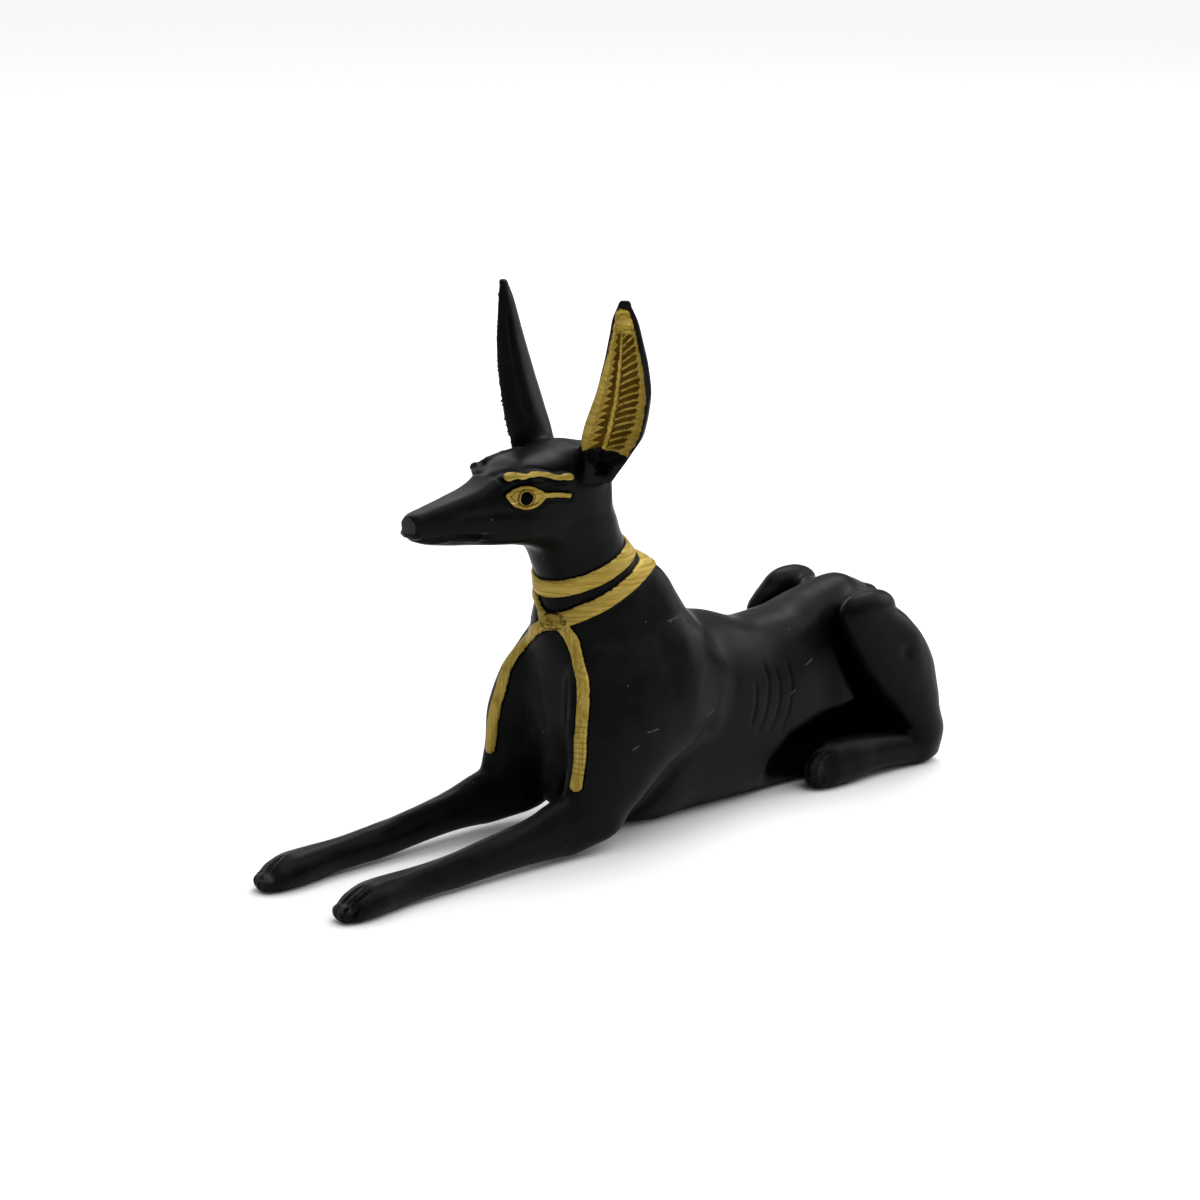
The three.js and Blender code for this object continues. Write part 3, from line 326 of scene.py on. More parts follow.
def through(*places, steps=4):
    """The places joined by a smooth curve, as more points."""
    pts = np.asarray(places, float)
    ext = np.vstack([2 * pts[0] - pts[1], pts, 2 * pts[-1] - pts[-2]])
    out = []
    for i in range(1, len(ext) - 2):
        p0, p1, p2, p3 = ext[i - 1:i + 3]
        for t in np.arange(steps) / steps:
            out.append(0.5 * (2 * p1 + (p2 - p0) * t + (2 * p0 - 5 * p1 + 4 * p2 - p3) * t * t
                              + (3 * p1 - p0 - 3 * p2 + p3) * t ** 3))
    out.append(pts[-1])
    return np.array(out)


def from_step(p, a, b):
    """The arm to each point from the nearest place on a straight step, and the share of the way there."""
    step = b - a
    t = np.clip(((p - a) @ step) / (step @ step), 0, 1)
    return p - a - t[:, None] * step, t


def nearest(p, line):
    """Distance to a chain of straight steps, and the share of the way along it."""
    sizes = lengths(line[1:] - line[:-1])
    walked = np.concatenate([[0], np.cumsum(sizes)]) / sizes.sum()
    best, along = np.full(len(p), 1e9), np.zeros(len(p))
    for a, b, w0, w1 in zip(line[:-1], line[1:], walked[:-1], walked[1:]):
        arm, t = from_step(p, a, b)
        d = np.einsum("ij,ij->i", arm, arm)
        closer = d < best
        best = np.where(closer, d, best)
        along = np.where(closer, w0 + (w1 - w0) * t, along)
    return np.sqrt(best), along


def side_on(p, line):
    """As nearest, but reckoned mostly in the side view."""
    return nearest(p * [0.35, 1, 1], line * [0.35, 1, 1])


def pearls(p, places, radii):
    """A rounded tube through the places, its radius changing between them."""
    d = np.full(len(p), 1e6)
    for a, b, ra, rb in zip(places[:-1], places[1:], radii[:-1], radii[1:]):
        arm, t = from_step(p, a, b)
        d = join(d, lengths(arm) - (ra + (rb - ra) * t), 0.6)
    return d


def tube(p, rows):
    """As pearls, with the radius in each row's last column."""
    return pearls(p, rows[:, :3], rows[:, 3])


brow_ridge = np.array([
    (4.6, -43.3, 96), (8, -41.3, 97.3), (9.2, -35.8, 97.2), (9.8, -31.2, 95.9), (10.2, -26.6, 95.4)])
far_brow = np.array([(-7.4, -41.2, 97.9), (-7, -38.2, 98.9), (-6.2, -34, 99.9), (-5, -30, 100.5)])
brisket = np.array([(0, -8, 14.5, 6.6), (0, -20, 13.6, 5.4)])
tail = np.array([
    (0, 86, 46.2, 3), (0, 92.5, 43.4, 3.3), (0, 96.5, 38, 3.4), (0, 98.4, 28, 3.3),
    (-0.6, 98.6, 17, 3.1), (-2.4, 98, 8, 2.9), (-5.6, 97, 3.6, 2.7), (-9, 96.4, 2.6, 2.4)])


def foreleg_place(p):
    """The forelegs lie a little to the right, arch off the ground and round up at the elbow, the right one more."""
    x, y, z = p.T
    lift = np.where(x < 0, 2.6, 0.8) * bump((y + 40) / 30) + np.where(x < 0, 7.5, 6.5) * ramp((y + 33) / 20)
    return np.stack([np.abs(x + 0.9 * ramp((-18 - y) / 20)), y, z - lift * np.clip(1 - z / 12, 0, 1)], -1)


def thigh_place(p, m):
    """The right thigh lies a little further forward, and its top further back."""
    q = m.copy()
    q[:, Y] += (p[:, X] < 0) * (2.4 * ramp((m[:, Z] - 20) / 20) - 7 * ramp((m[:, Z] - 40) / 8))
    return q


def hind_leg(p, m):
    foot = m.copy()
    foot[:, Z] -= bump((m[:, Y] - 79) / 16) * np.clip(1 - m[:, Z] / 8, 0, 1)
    return join(haunch(thigh_place(p, m)), hind_foot(foot), 3.0)


def head(p, m, fine):
    flat = trim(skull(p), p[:, Z] - muzzle_top(p[:, Y]), 0.35 if fine else 0.8)
    ridge = join(pearls(m, brow_ridge, [1.2] * len(brow_ridge)), pearls(p, far_brow, [0.8] * len(far_brow)), 2.0)
    return join(flat, ridge, 2.4)


def form(p, m, fine):
    """The whole figure without its carving: p as it is, m brought over to the left side."""
    d = join(torso(p), neck(p), 9.0)

    def add(piece, low, high, radius, q=m):
        """Joins one more piece to the field, where it is near enough to matter."""
        gap = lengths(np.maximum(np.maximum(low - q, q - high), 0))
        near = gap < np.maximum(d, 0) + 2 * np.max(radius)
        if near.any():
            d[near] = join(d[near], piece(p[near], m[near]), radius[near] if np.ndim(radius) else radius)

    shoulder = 9.0 + 9.0 * ramp((m[:, Y] + 4) / 12) * ramp((m[:, Z] - 14) / 14)
    add(lambda p, m: upper_arm(foreleg_place(p)), upper_arm.low - 1, upper_arm.high + [1, 1, 6], shoulder)
    add(lambda p, m: forearm(foreleg_place(p)), forearm.low - 3, forearm.high + 3, 4.0)
    throat = (2.6 if fine else 4.0) + 4.5 * ramp((86 - p[:, Z]) / 5)
    add(lambda p, m: head(p, m, fine), skull.low, skull.high + [1, 0, 1], throat, p)
    add(lambda p, m: ear(m, fine), ear.low, ear.high, 6.5 if fine else 4.6)
    add(lambda p, m: tube(p, brisket), [-8, -30, 0], [8, 0, 24], 9.0, p)
    add(lambda p, m: hip(m), hip.low, hip.high, 5.0)
    near = boxed(m, x=(2, 99), y=(36, 94))
    d[near] = trim(d[near], -tube(thigh_place(p[near], m[near]), flank_hollow), 5.0)
    add(lambda p, m: web(m), web.low, web.high, 3.0)
    rump = 2.4 + 6.6 * (ramp((m[:, Y] - 78) / 14) * ramp((m[:, Z] - 16) / 14))
    leg_low = np.minimum(haunch.low, hind_foot.low) - [1, 3.4, 1]
    leg_high = np.maximum(haunch.high, hind_foot.high) + [1, 6, 1]
    add(hind_leg, leg_low, leg_high, rump)
    add(lambda p, m: tube(p, tail), tail[:, :3].min(0) - 4, tail[:, :3].max(0) + 4, 2.4, p)
    return d


# Carved and raised lines; those given on the left side stand on both
knot_place = np.array([3.6, -25.9, 57.9])
ribbons = [
    through((2, -26.5, 57), (-3.5, -26.2, 54), (-8.5, -24.4, 50), (-11.6, -25.8, 46),
            (-12.7, -28, 41.1), (-13.4, -29.4, 35.9), (-14.3, -30.6, 30), (-15.2, -30.9, 22)),
    through((5, -25.3, 57.4), (7.2, -24.1, 54.6), (9.1, -23.7, 51.3), (11.5, -24.7, 47.8), (14.5, -26.2, 43.9),
            (16.4, -28, 38), (17.2, -29.4, 31.9), (17.4, -30, 25.6), (17.1, -31, 19.2)),
]
chest_folds = [
    through((-9.2, -26.3, 41), (-8.2, -25.7, 35), (-7.9, -24.5, 27)),
    through((-5, -25.1, 43.5), (-2.6, -25.4, 36), (-2, -24.4, 26)),
    through((14, -26.5, 40), (14.6, -27.4, 33), (15.2, -28.2, 27), (15.3, -29, 21)),
]
eye_centre = np.array([8.9, -39.5, 92.1])
eye_upper = through((6.6, -44.1, 93), (7.3, -42, 94.3), (8.4, -39.2, 94.7), (9.3, -36.6, 93.8), (9.9, -34.2, 92.2))
eye_lower = through((6.7, -44.1, 93), (7.8, -42.4, 90.9), (8.8, -39.3, 89.7), (9.5, -36.4, 90.4), (9.9, -34.2, 92.2))
eye_tail = through((9.9, -34.2, 92.2), (10.4, -30.6, 91.9), (10.7, -27.3, 91.3))
brow_line = through((6.2, -43.5, 97.2), (7.5, -42.3, 98), (9.1, -40.6, 97.7), (9.9, -37, 98),
    (10.4, -34.2, 97.4), (10.9, -31.3, 96.4), (11.2, -27.3, 96.1))
mouth = through((0, -69.6, 85), (2.5, -68.4, 85), (3.3, -64.8, 84.7), (4.1, -60.6, 84.9),
    (4.8, -55.7, 84.5), (5, -52.1, 83.8), (5.4, -48.6, 83.3), (5.9, -45.9, 83.3))
cheek = through((4.2, -60, 89.2), (5.7, -50.1, 89), (7.2, -44, 88.8), (8.8, -39, 88), (10, -33, 88))
shoulder_fold = through((15, 9.2, 51.8), (17.7, 9.2, 46.9), (18.4, 11.3, 42), (18.5, 11.8, 35),
    (18, 10.6, 26), (17, 5.4, 18.3), (14, -0.7, 9.8), (9.9, -3.5, 4.5))
shoulder_bend = through((13.2, 22.5, 45.5), (15.1, 21, 40), (16.7, 17.6, 33.5), (17.3, 14, 27), (17.2, 8.5, 20))
shoulder_crease = through((12.6, 9.6, 57), (14.6, 10.8, 51), (15.6, 11.8, 45.5))
rib_lines = [
    through((15.1, 34, 33.6), (15.8, 34.1, 29.7), (16.3, 32.9, 25.2), (16.5, 31, 21.5)),
    through((13, 38.7, 38), (14.7, 39.6, 32.5), (15.8, 38.2, 26.4), (16.2, 35.3, 20.6), (16.3, 32.9, 19.1)),
    through((13.1, 42.7, 36.8), (14.5, 43.8, 31.6), (15.3, 43.1, 26.2), (15.8, 40.7, 21), (16, 37.2, 17.7)),
    through((12.7, 47.5, 37.1), (14.4, 48.7, 30.7), (15.1, 47.5, 25.3), (15.4, 45.7, 20.8), (15.5, 42.8, 16.5)),
]
fore_toes = [
    through((14.6, -105, 1.6), (14.7, -104.8, 3.4), (14.8, -102.3, 5), (15.1, -99.7, 6.7), (15.4, -96.6, 8)),
    through((16.9, -104.6, 1.4), (17, -104.2, 3), (17.5, -101.2, 4.9), (17.7, -98, 6.3), (17.4, -95.2, 7.6)),
    through((18.4, -103, 1.2), (18.6, -102.3, 2.5), (18.9, -99.9, 4.3), (18.9, -97.4, 5.2)),
]
hind_toes = [
    through((16.5, 53.2, 2.7), (16.2, 53, 6.3), (17.4, 54, 9.4), (19, 57.6, 11)),
    through((19.1, 53.5, 2.7), (18.6, 53.2, 6.2), (19.5, 54.9, 9.1), (20.3, 58.6, 10.5)),
    through((20.7, 54.9, 2.8), (20.5, 54.3, 5.9), (20.6, 56.1, 8), (21.2, 58.9, 9.2)),
]
arm_ridges = [
    through((17.6, -92.4, 7.8), (15.8, -74.2, 8.4), (13.3, -50.5, 9.6), (13.1, -32.6, 12)),
    through((-7.5, -91.2, 8.6), (-11, -76, 9.4), (-14.8, -58.3, 10.5), (-13.5, -38.8, 13)),
]
scratches = [
    ((22.9, -11.8, 30.2), (23, -8, 30.5)), ((22.5, -16.6, 26.6), (22.7, -14.7, 27.3)),
    ((15.4, 2.3, 55.1), (15, 6.2, 55.4)), ((20.4, 11.7, 29.7), (19.4, 14.9, 30.2)),
    ((13.6, 54.8, 33.5), (13.2, 57.5, 34.5)), ((14.6, 48.2, 27), (14.8, 49.5, 27.9)),
]
specks = [(14.6, -4.7, 56), (19.9, -15.8, 42.5), (-14.5, -37.3, 14.3), (-2.4, -24.2, 27.5), (6.1, -48.3, 87.7),
          (2, -28, 73.9), (9.4, 52.5, 42.9), (22.6, -10, 24), (15.6, 3.1, 54.8)]
SCRATCH_HALF, SPECK_HALF = 0.00021, 0.00032
casting_pit = np.array([18.9, -36.6, 6.2])
haunch_dent = np.array([22.2, 84.0, 33.5])

# Half widths of the gold lines, the ribbons' length, and their notches: stretches, pitch, and angle for each part
RIBBON_HALF, EYE_RIM, EYE_TAIL_HALF = 1.75, 0.6, 0.78
RIBBON_LENGTH = 42.0
NOTCHED = ((0.12, 0.34), (0.6, 0.97))
NOTCH_PITCH, NOTCH_TURN = 1.3, 4.83


def fade(along, share):
    return ramp(np.minimum(along, 1 - along) / share)


def plate(inside, edge):
    """1 well inside, falling to 0 across the edge."""
    return ramp(inside / edge + 0.5)


def bands(p):
    """How far inside each of the two collar bands a point is."""
    x, y, z = p.T
    wobble = 0.16 * noise(p, 5.0, 3)
    upper = 2.3 - np.abs(z - (74.8 + 0.352 * y)) * 0.943
    near = lengths((p - knot_place) * [1, 0.3, 0.6])
    far_side = ramp((1.5 - x) / 4) * ramp((-12 - y) / 8)
    rise = 3.6 * ramp((1.5 - x) / 6) * ramp((-8 - y) / 12)
    middle = 69.05 + 0.415 * y + rise - 0.6 * bump(near / 8)
    lower = 2.0 - far_side - np.abs(z - middle) * (0.93 - 0.2 * far_side)
    return upper + wobble, lower - wobble


def inside_knot(p):
    return 2.15 - lengths((p - knot_place) * [0.62, 0.45, 1.05])


def inside_ribbon(p, line):
    """How far inside a ribbon a point is, how far from its middle, and the share of the way along it."""
    gap, along = nearest(p, line)
    return RIBBON_HALF + 0.12 * noise(p, 3.0, 6) - gap, gap, along


def inside_brow(m):
    gap, along = side_on(m, brow_line)
    half = (0.78 + 0.22 * bump((along - 0.1) / 0.12) + 0.2 * bump((along - 0.95) / 0.1)
            - 0.18 * bump((along - 0.27) / 0.06))
    return half - gap


eye_outline = np.vstack([eye_upper[:, 1:], eye_lower[-2:0:-1, 1:]])


def inside_eye(m):
    """How far inside the almond of the eye a point is, seen from the side."""
    q = m[:, 1:]
    gap = np.full(len(q), 1e9)
    inside = np.zeros(len(q), bool)
    for a, b in zip(eye_outline, np.roll(eye_outline, -1, axis=0)):
        gap = np.minimum(gap, lengths(from_step(q, a, b)[0]))
        cross = (a[1] > q[:, 1]) != (b[1] > q[:, 1])
        with np.errstate(divide="ignore", invalid="ignore"):
            where = a[0] + (q[:, 1] - a[1]) / (b[1] - a[1]) * (b[0] - a[0])
        inside ^= cross & (q[:, 0] < where)
    return np.where(inside, gap, -gap)


def inside_eye_paint(eye, tail_gap, brow):
    """How far inside the gold of the eye, its tail and its brow."""
    return np.maximum(np.maximum(eye + EYE_RIM, EYE_TAIL_HALF - tail_gap), brow)


def ear_marks(m):
    """Places in the ear's hollow: share of its half width, height, and how far inside the opening."""
    u, v, s, t = ear.place(m)
    inner = np.clip(s, HOLLOW_FOOT, ear.height - 3.6)
    half = ear.wide_half(inner)
    share = (u + REAR_RIM) / half
    level = np.hypot(share, (s - inner) / 3.0)
    inside = (1.03 + 0.24 * ramp(-share) - level) * half
    return share, s, np.minimum(inside, v + (0.4 + 0.2 * ramp((0.9 - level) / 0.2)) * ear.thick(t))


# How far the carving raises or lowers the surface, zone by zone
def cuts(p, lines, depth, half, share):
    """Cuts along the lines that fade out over that share of each end."""
    t = np.zeros(len(p))
    for line in lines:
        gap, along = nearest(p, line)
        t -= depth * bump(gap / half) * fade(along, share)
    return t


def collar_relief(p, m):
    inside = np.maximum(*bands(p))
    return 0.66 * plate(inside - 0.25, 0.5) + 0.12 * ramp(inside / 2) - 0.18 * bump((inside + 0.5) / 0.8)


def chest_relief(p, m):
    knot = inside_knot(p)
    t = plate(knot, 0.7) * (1.0 + 0.4 * noise(p, 1.5, 5)) + 0.35 * plate(knot, 2.0) - 0.4 * bump((knot + 0.3) / 0.5)
    for line, (first, last) in zip(ribbons, NOTCHED):
        inside, _, along = inside_ribbon(p, line)
        walked = along * RIBBON_LENGTH + 0.25 * noise(p, 2.2, 12)
        notches = 0.05 * (1 - np.cos(2 * np.pi * walked / NOTCH_PITCH)) * (inside > 0)
        notches = notches * ramp((along - first) / 0.05) * ramp((last - along) / 0.05)
        raised = 0.66 * plate(inside - 0.2, 0.5) + 0.1 * ramp(inside / 1.5) - notches
        t = np.maximum(t, raised - 0.16 * bump((inside + 0.5) / 0.8) * (knot < 0))
    return t + cuts(p, chest_folds, 0.45, 1.3, 0.2)


def face_relief(p, m):
    eye, brow = inside_eye(m), inside_brow(m)
    tail_gap, _ = side_on(m, eye_tail)
    # the right brow is a plain ridge at its front end
    shown = 1 - ramp((-p[:, X] - 2) / 3) * ramp((-37 - p[:, Y]) / 3)
    rim = 0.42 * plate(eye + EYE_RIM, 0.4) * (1 - 0.7 * ramp((eye - 0.4) / 0.5)) + 0.34 * ramp((eye - 0.7) / 1.6)
    t = np.maximum(rim, 0.42 * plate(EYE_TAIL_HALF - tail_gap, 0.4)) + 0.5 * shown * plate(brow, 0.4)
    t += 0.15 * ramp((2.1 - lengths(m - eye_centre)) / 0.5)
    t -= 0.28 * bump((inside_eye_paint(eye, tail_gap, brow) + 0.5) / 0.9)
    t -= 0.8 * shown * bump(lengths((m - [8.4, -41.0, 95.9]) * [1, 0.5, 1]) / 2.6)
    t -= 0.75 * bump(lengths((m - [10.2, -33.0, 94.6]) * [0.6, 0.26, 1]) / 1.7)
    gap, along = side_on(m, mouth)
    t -= 0.9 * bump(gap / 0.75) * ramp((1 - along) / 0.15) * (0.5 + 0.5 * ramp((along - 0.45) / 0.1))
    t += 0.4 * bump((gap - 1.0) / 0.7) * (m[:, Z] < 84.6) * ramp((along - 0.2) / 0.1) * ramp((0.85 - along) / 0.1)
    gap, along = side_on(m, cheek)
    t -= 0.4 * bump(gap / 1.7) * fade(along, 0.3)
    return t + 0.4 * noise(m, 1.4, 8) * ramp((-67.8 - m[:, Y]) / 1.2)


def ear_relief(p, m):
    share, s, inside = ear_marks(m)
    # slanting ribs in the rear part of the hollow, a thin ridge up its middle and teeth in front
    ribs = np.cos(np.pi * (s - 3.4 * share))
    where = ramp((share + 0.12) / 0.1) * ramp((0.8 - share) / 0.1) * ramp((s - 4) / 3) * ramp((36 - s) / 3)
    middle = -0.02 - 0.26 * ramp((s - 6) / 22)
    ridge = bump((share - middle) / 0.13) * ramp((s - 1) / 4) * ramp((41 - s) / 3)
    t = 0.17 * ribs * where + 0.32 * ridge
    t += 0.12 * np.cos(np.pi * s) * ramp((-0.38 - share) / 0.1) * ramp((34 - s) / 3)
    t *= ramp((inside - 0.1) / 0.6) * ramp((0.96 - np.abs(share)) / 0.2)
    # the far face of the blade carries a soft groove
    _, v, _, at = ear.place(m)
    off_groove = np.hypot((share + 1.0) / 0.3, (v / ear.thick(at) + 0.45) / 0.35)
    return t - 0.5 * bump(off_groove) * ramp((s - 8) / 6) * ramp((41 - s) / 6)


def side_relief(p, m):
    gap, along = nearest(m, shoulder_fold)
    low = ramp((along - 0.55) / 0.3)
    t = cuts(m, [shoulder_bend], -0.75, 8.5, 0.3) - 0.8 * low * bump(gap / (4.6 - 1.6 * low))
    return t + cuts(m, [shoulder_crease], 0.55, 1.3, 0.35) + cuts(m, rib_lines, 0.55, 0.7, 0.2)


def toe_relief(p, lines):
    t = np.zeros(len(p))
    for line in lines:
        gap, along = nearest(p, line)
        t -= 0.95 * bump(gap / 0.8) * ramp((1 - along) / 0.35)
    return t


def arm_relief(p, m):
    t = np.zeros(len(p))
    for line in arm_ridges:
        gap, along = nearest(p, line)
        beside = bump((gap - 2.4) / 1.6) * (p[:, X] < line[0, X] + 4)
        t += (0.45 * bump(gap / 1.2) - 0.3 * beside) * fade(along, 0.2)
    return t


def relief(p, m):
    r = 0.07 * noise(p, 9.0, 1) + 0.03 * noise(p, 3.1, 2)
    for zone, carving in (
            (boxed(p, y=(-999, 25), z=(52, 80)), collar_relief),
            (boxed(p, y=(-40, -20), z=(14, 62)), chest_relief),
            (boxed(p, y=(-999, -22), z=(78, 103)), face_relief),
            (boxed(m, x=(7, 99), z=(94, 999)), ear_relief),
            (boxed(m, x=(7, 99), y=(-8, 54)), side_relief),
            (boxed(p, y=(-999, -92)), lambda p, m: toe_relief(foreleg_place(p), fore_toes)),
            (boxed(m, x=(10, 99), y=(48, 68), z=(-99, 14)), lambda p, m: toe_relief(m, hind_toes)),
            (boxed(p, y=(-999, -30), z=(4, 16)), arm_relief)):
        r[zone] += carving(p[zone], m[zone])
    gap = lengths(p - casting_pit)
    r += 0.22 * bump((gap - 1.15) / 0.45) - 0.15 * bump(gap / 0.6)
    return r - 0.5 * bump(lengths((m - haunch_dent) * [0.6, 1, 1]) / 2.6)


def figure(p, fine):
    m = mirrored(p)
    d = form(p, m, fine)
    if fine:
        near = np.abs(d) < 4
        d[near] -= relief(p[near], m[near])
    return trim(d, -p[:, Z], 0.5)


# A block-wise lattice gives a closed mesh of quads
BLOCK = 4
FAR = 10.0


def in_lots(p):
    """The points in lots that fit the memory."""
    return np.array_split(p, max(1, len(p) // 60000))


def sample(field, first, last, pitch):
    first = np.array(first, float)
    blocks = np.ceil((np.array(last) - first) / (pitch * BLOCK)).astype(int)
    middles = [first[i] + pitch * BLOCK * (np.arange(blocks[i]) + 0.5) for i in range(3)]
    at = np.stack(np.meshgrid(*middles, indexing="ij"), -1).reshape(-1, 3)
    d = field(at).reshape(blocks)
    near = np.abs(d) < pitch * (BLOCK * 1.3 + 1)
    values = np.full(blocks * BLOCK + 1, FAR)
    rough = np.sign(d) * FAR
    for axis in range(3):
        rough = np.repeat(rough, BLOCK, axis)
    values[:-1, :-1, :-1] = rough
    needed = np.zeros(values.shape, bool)
    for i, j, k in np.argwhere(near) * BLOCK:
        needed[i:i + BLOCK + 1, j:j + BLOCK + 1, k:k + BLOCK + 1] = True
    cells = np.argwhere(needed)
    values[tuple(cells.T)] = np.concatenate([field(first + pitch * lot) for lot in in_lots(cells)])
    return values


def surface(values, first, pitch):
    """One point in each cell that the surface crosses, and a quad round each crossed edge."""
    inside = values < 0
    n = np.array(values.shape)
    corners = np.array(list(np.ndindex(2, 2, 2)))
    total = sum(inside[i:n[0] - 1 + i, j:n[1] - 1 + j, k:n[2] - 1 + k].astype(np.int8) for i, j, k in corners)
    cells = np.argwhere((total > 0) & (total < 8))
    index = np.full(n - 1, -1)
    index[tuple(cells.T)] = np.arange(len(cells))
    at = [values[tuple((cells + c).T)] for c in corners]
    sums, counts = np.zeros((len(cells), 3)), np.zeros(len(cells))
    for a, bit in np.ndindex(8, 3):
        b = a | 1 << bit
        if b > a:
            crossed = (at[a] < 0) != (at[b] < 0)
            t = np.where(crossed, at[a] / np.where(crossed, at[a] - at[b], 1), 0)
            sums += np.where(crossed[:, None], corners[a] + t[:, None] * (corners[b] - corners[a]), 0)
            counts += crossed
    places = np.array(first) + pitch * (cells + sums / counts[:, None])
    quads = []
    for axis in range(3):
        b, c = (axis + 1) % 3, (axis + 2) % 3
        here, there = [slice(None)] * 3, [slice(None)] * 3
        here[axis], there[axis] = slice(0, -1), slice(1, None)
        edges = np.argwhere(inside[tuple(here)] != inside[tuple(there)])
        ring = []
        for db, dc in ((0, 0), (1, 0), (1, 1), (0, 1)):
            cell = edges.copy()
            cell[:, b] -= db
            cell[:, c] -= dc
            ring.append(index[tuple(cell.T)])
        quad = np.stack(ring, -1)
        turned = ~inside[tuple(edges.T)]
        quad[turned] = quad[turned][:, ::-1]
        quads.append(quad)
    return places, np.concatenate(quads)


def settle(field, p, rounds, most):
    """Moves points onto the surface along the steepest way."""
    step = 0.03
    for _ in range(rounds):
        moved = []
        for lot in in_lots(p):
            here = field(lot)
            slope = np.stack([field(lot + step * np.eye(3)[i]) - here for i in range(3)], -1) / step
            steep = np.maximum((slope * slope).sum(1), 0.05)
            move = -(here / steep)[:, None] * slope
            size = lengths(move)[:, None]
            moved.append(lot + move * np.minimum(1, most / np.maximum(size, 1e-9)))
        p = np.concatenate(moved)
    return p


def halve_quads(places, quads):
    a, b, c, d = (places[quads[:, i]] for i in range(4))
    short = lengths(a - c) <= lengths(b - d)
    one, other = quads[short], quads[~short]
    return np.concatenate([one[:, [0, 1, 2]], one[:, [0, 2, 3]], other[:, [0, 1, 3]], other[:, [1, 2, 3]]])


# How a triangle is cut, by the number of its split edges: 0 to 2 are its corners, 3 to 5 its edges' middles
CUTS = (
    [(0, 1, 2)],
    [(0, 3, 2), (3, 1, 2)],
    [(3, 1, 4), (0, 3, 4), (0, 4, 2)],
    [(0, 3, 5), (3, 1, 4), (5, 4, 2), (3, 4, 5)])


def divide(places, triangles, wanted):
    """Splits the edges that are longer than wanted at their middle."""
    corners = triangles[:, [[0, 1], [1, 2], [2, 0]]]
    keys = corners.min(2) * len(places) + corners.max(2)
    unique, inverse = np.unique(keys, return_inverse=True)
    a, b = unique // len(places), unique % len(places)
    middle = (places[a] + places[b]) / 2
    long = lengths(places[a] - places[b]) > wanted(middle)
    fresh = np.full(len(unique), -1)
    fresh[long] = len(places) + np.arange(long.sum())
    mids = fresh[inverse.reshape(keys.shape)]
    splits = (mids >= 0).sum(1)
    # turned so that the first edge is split and, where only one is whole, it is the last
    turn = np.zeros(len(triangles), int)
    for n in range(3):
        ready = (mids[:, n] >= 0) & ((splits == 1) | (mids[:, (n + 1) % 3] >= 0))
        turn = np.where(ready, n, turn)
    order = (np.arange(3) + turn[:, None]) % 3
    six = np.concatenate([np.take_along_axis(triangles, order, 1), np.take_along_axis(mids, order, 1)], 1)
    out = [six[splits == n][:, piece] for n, pieces in enumerate(CUTS) for piece in pieces]
    return np.vstack([places, middle[long]]), np.vstack(out)


def wanted_edge(p):
    """The longest edge allowed: short where the carving is fine."""
    m = mirrored(p)
    long = np.full(len(p), 1.9)
    long[boxed(p, y=(-999, -93)) | boxed(m, x=(11, 99), y=(50, 64), z=(-99, 14))] = 0.5
    long[boxed(m, x=(10, 99), y=(28, 50), z=(14, 40))] = 0.9
    long[boxed(p, y=(-999, -22), z=(81, 999))] = 1.05
    long[boxed(m, x=(-1, 7), y=(-999, -44), z=(81, 999))] = 0.8
    long[boxed(p, y=(-999, 25), z=(50, 84)) & (np.maximum(*bands(p)) > -1.0)] = 0.85
    chest = boxed(p, y=(-40, -18), z=(14, 62))
    gap = np.min([nearest(p[chest], line)[0] for line in ribbons] + [2.6 - inside_knot(p[chest])], axis=0)
    long[chest] = np.where(gap < 2.8, 0.85, long[chest])
    long[boxed(m, x=(7, 99), z=(97, 999))] = 0.78
    ears = boxed(m, x=(7, 99), z=(100, 999))
    long[ears] = np.where(ear_marks(m[ears])[2] > -1.2, 0.57, 0.9)
    long[boxed(m, x=(4, 99), y=(-46.5, -25), z=(88, 100))] = 0.6
    long[lengths(p - casting_pit) < 2.4] = 0.6
    return long * 1.0


def mesh_of_the_figure():
    pitch = 1.2
    first, last = (-31, -110, -3), (31, 108, 146)
    coarse = lambda p: figure(p, False)
    fine = lambda p: figure(p, True)
    places, quads = surface(sample(coarse, first, last, pitch), first, pitch)
    places = settle(coarse, places, 1, pitch / 2)
    places = settle(fine, places, 2, pitch / 3)
    triangles = halve_quads(places, quads)
    for _ in range(3):
        before = len(places)
        places, triangles = divide(places, triangles, wanted_edge)
        if len(places) == before:
            break
        places[before:] = settle(fine, places[before:], 2, 0.3)
    places[:, Z] = np.maximum(places[:, Z], 0)
    return places, triangles


places, triangles = mesh_of_the_figure()

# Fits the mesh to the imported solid's box, and keeps it a hair inside
HAIR = 0.00002
unit = (high[Y] - low[Y]) / (places[:, Y].max() - places[:, Y].min())
middle = (places.max(0) + places.min(0)) / 2
shift = np.array([-middle[X] * unit, (low[Y] + high[Y]) / 2 - middle[Y] * unit, 0.0])


def placed(p):
    """Parts to metres in the shared frame."""
    return np.array(p) * unit + shift


limit = high - HAIR
shown = np.clip(placed(places), -limit * [1, 1, 0], limit)


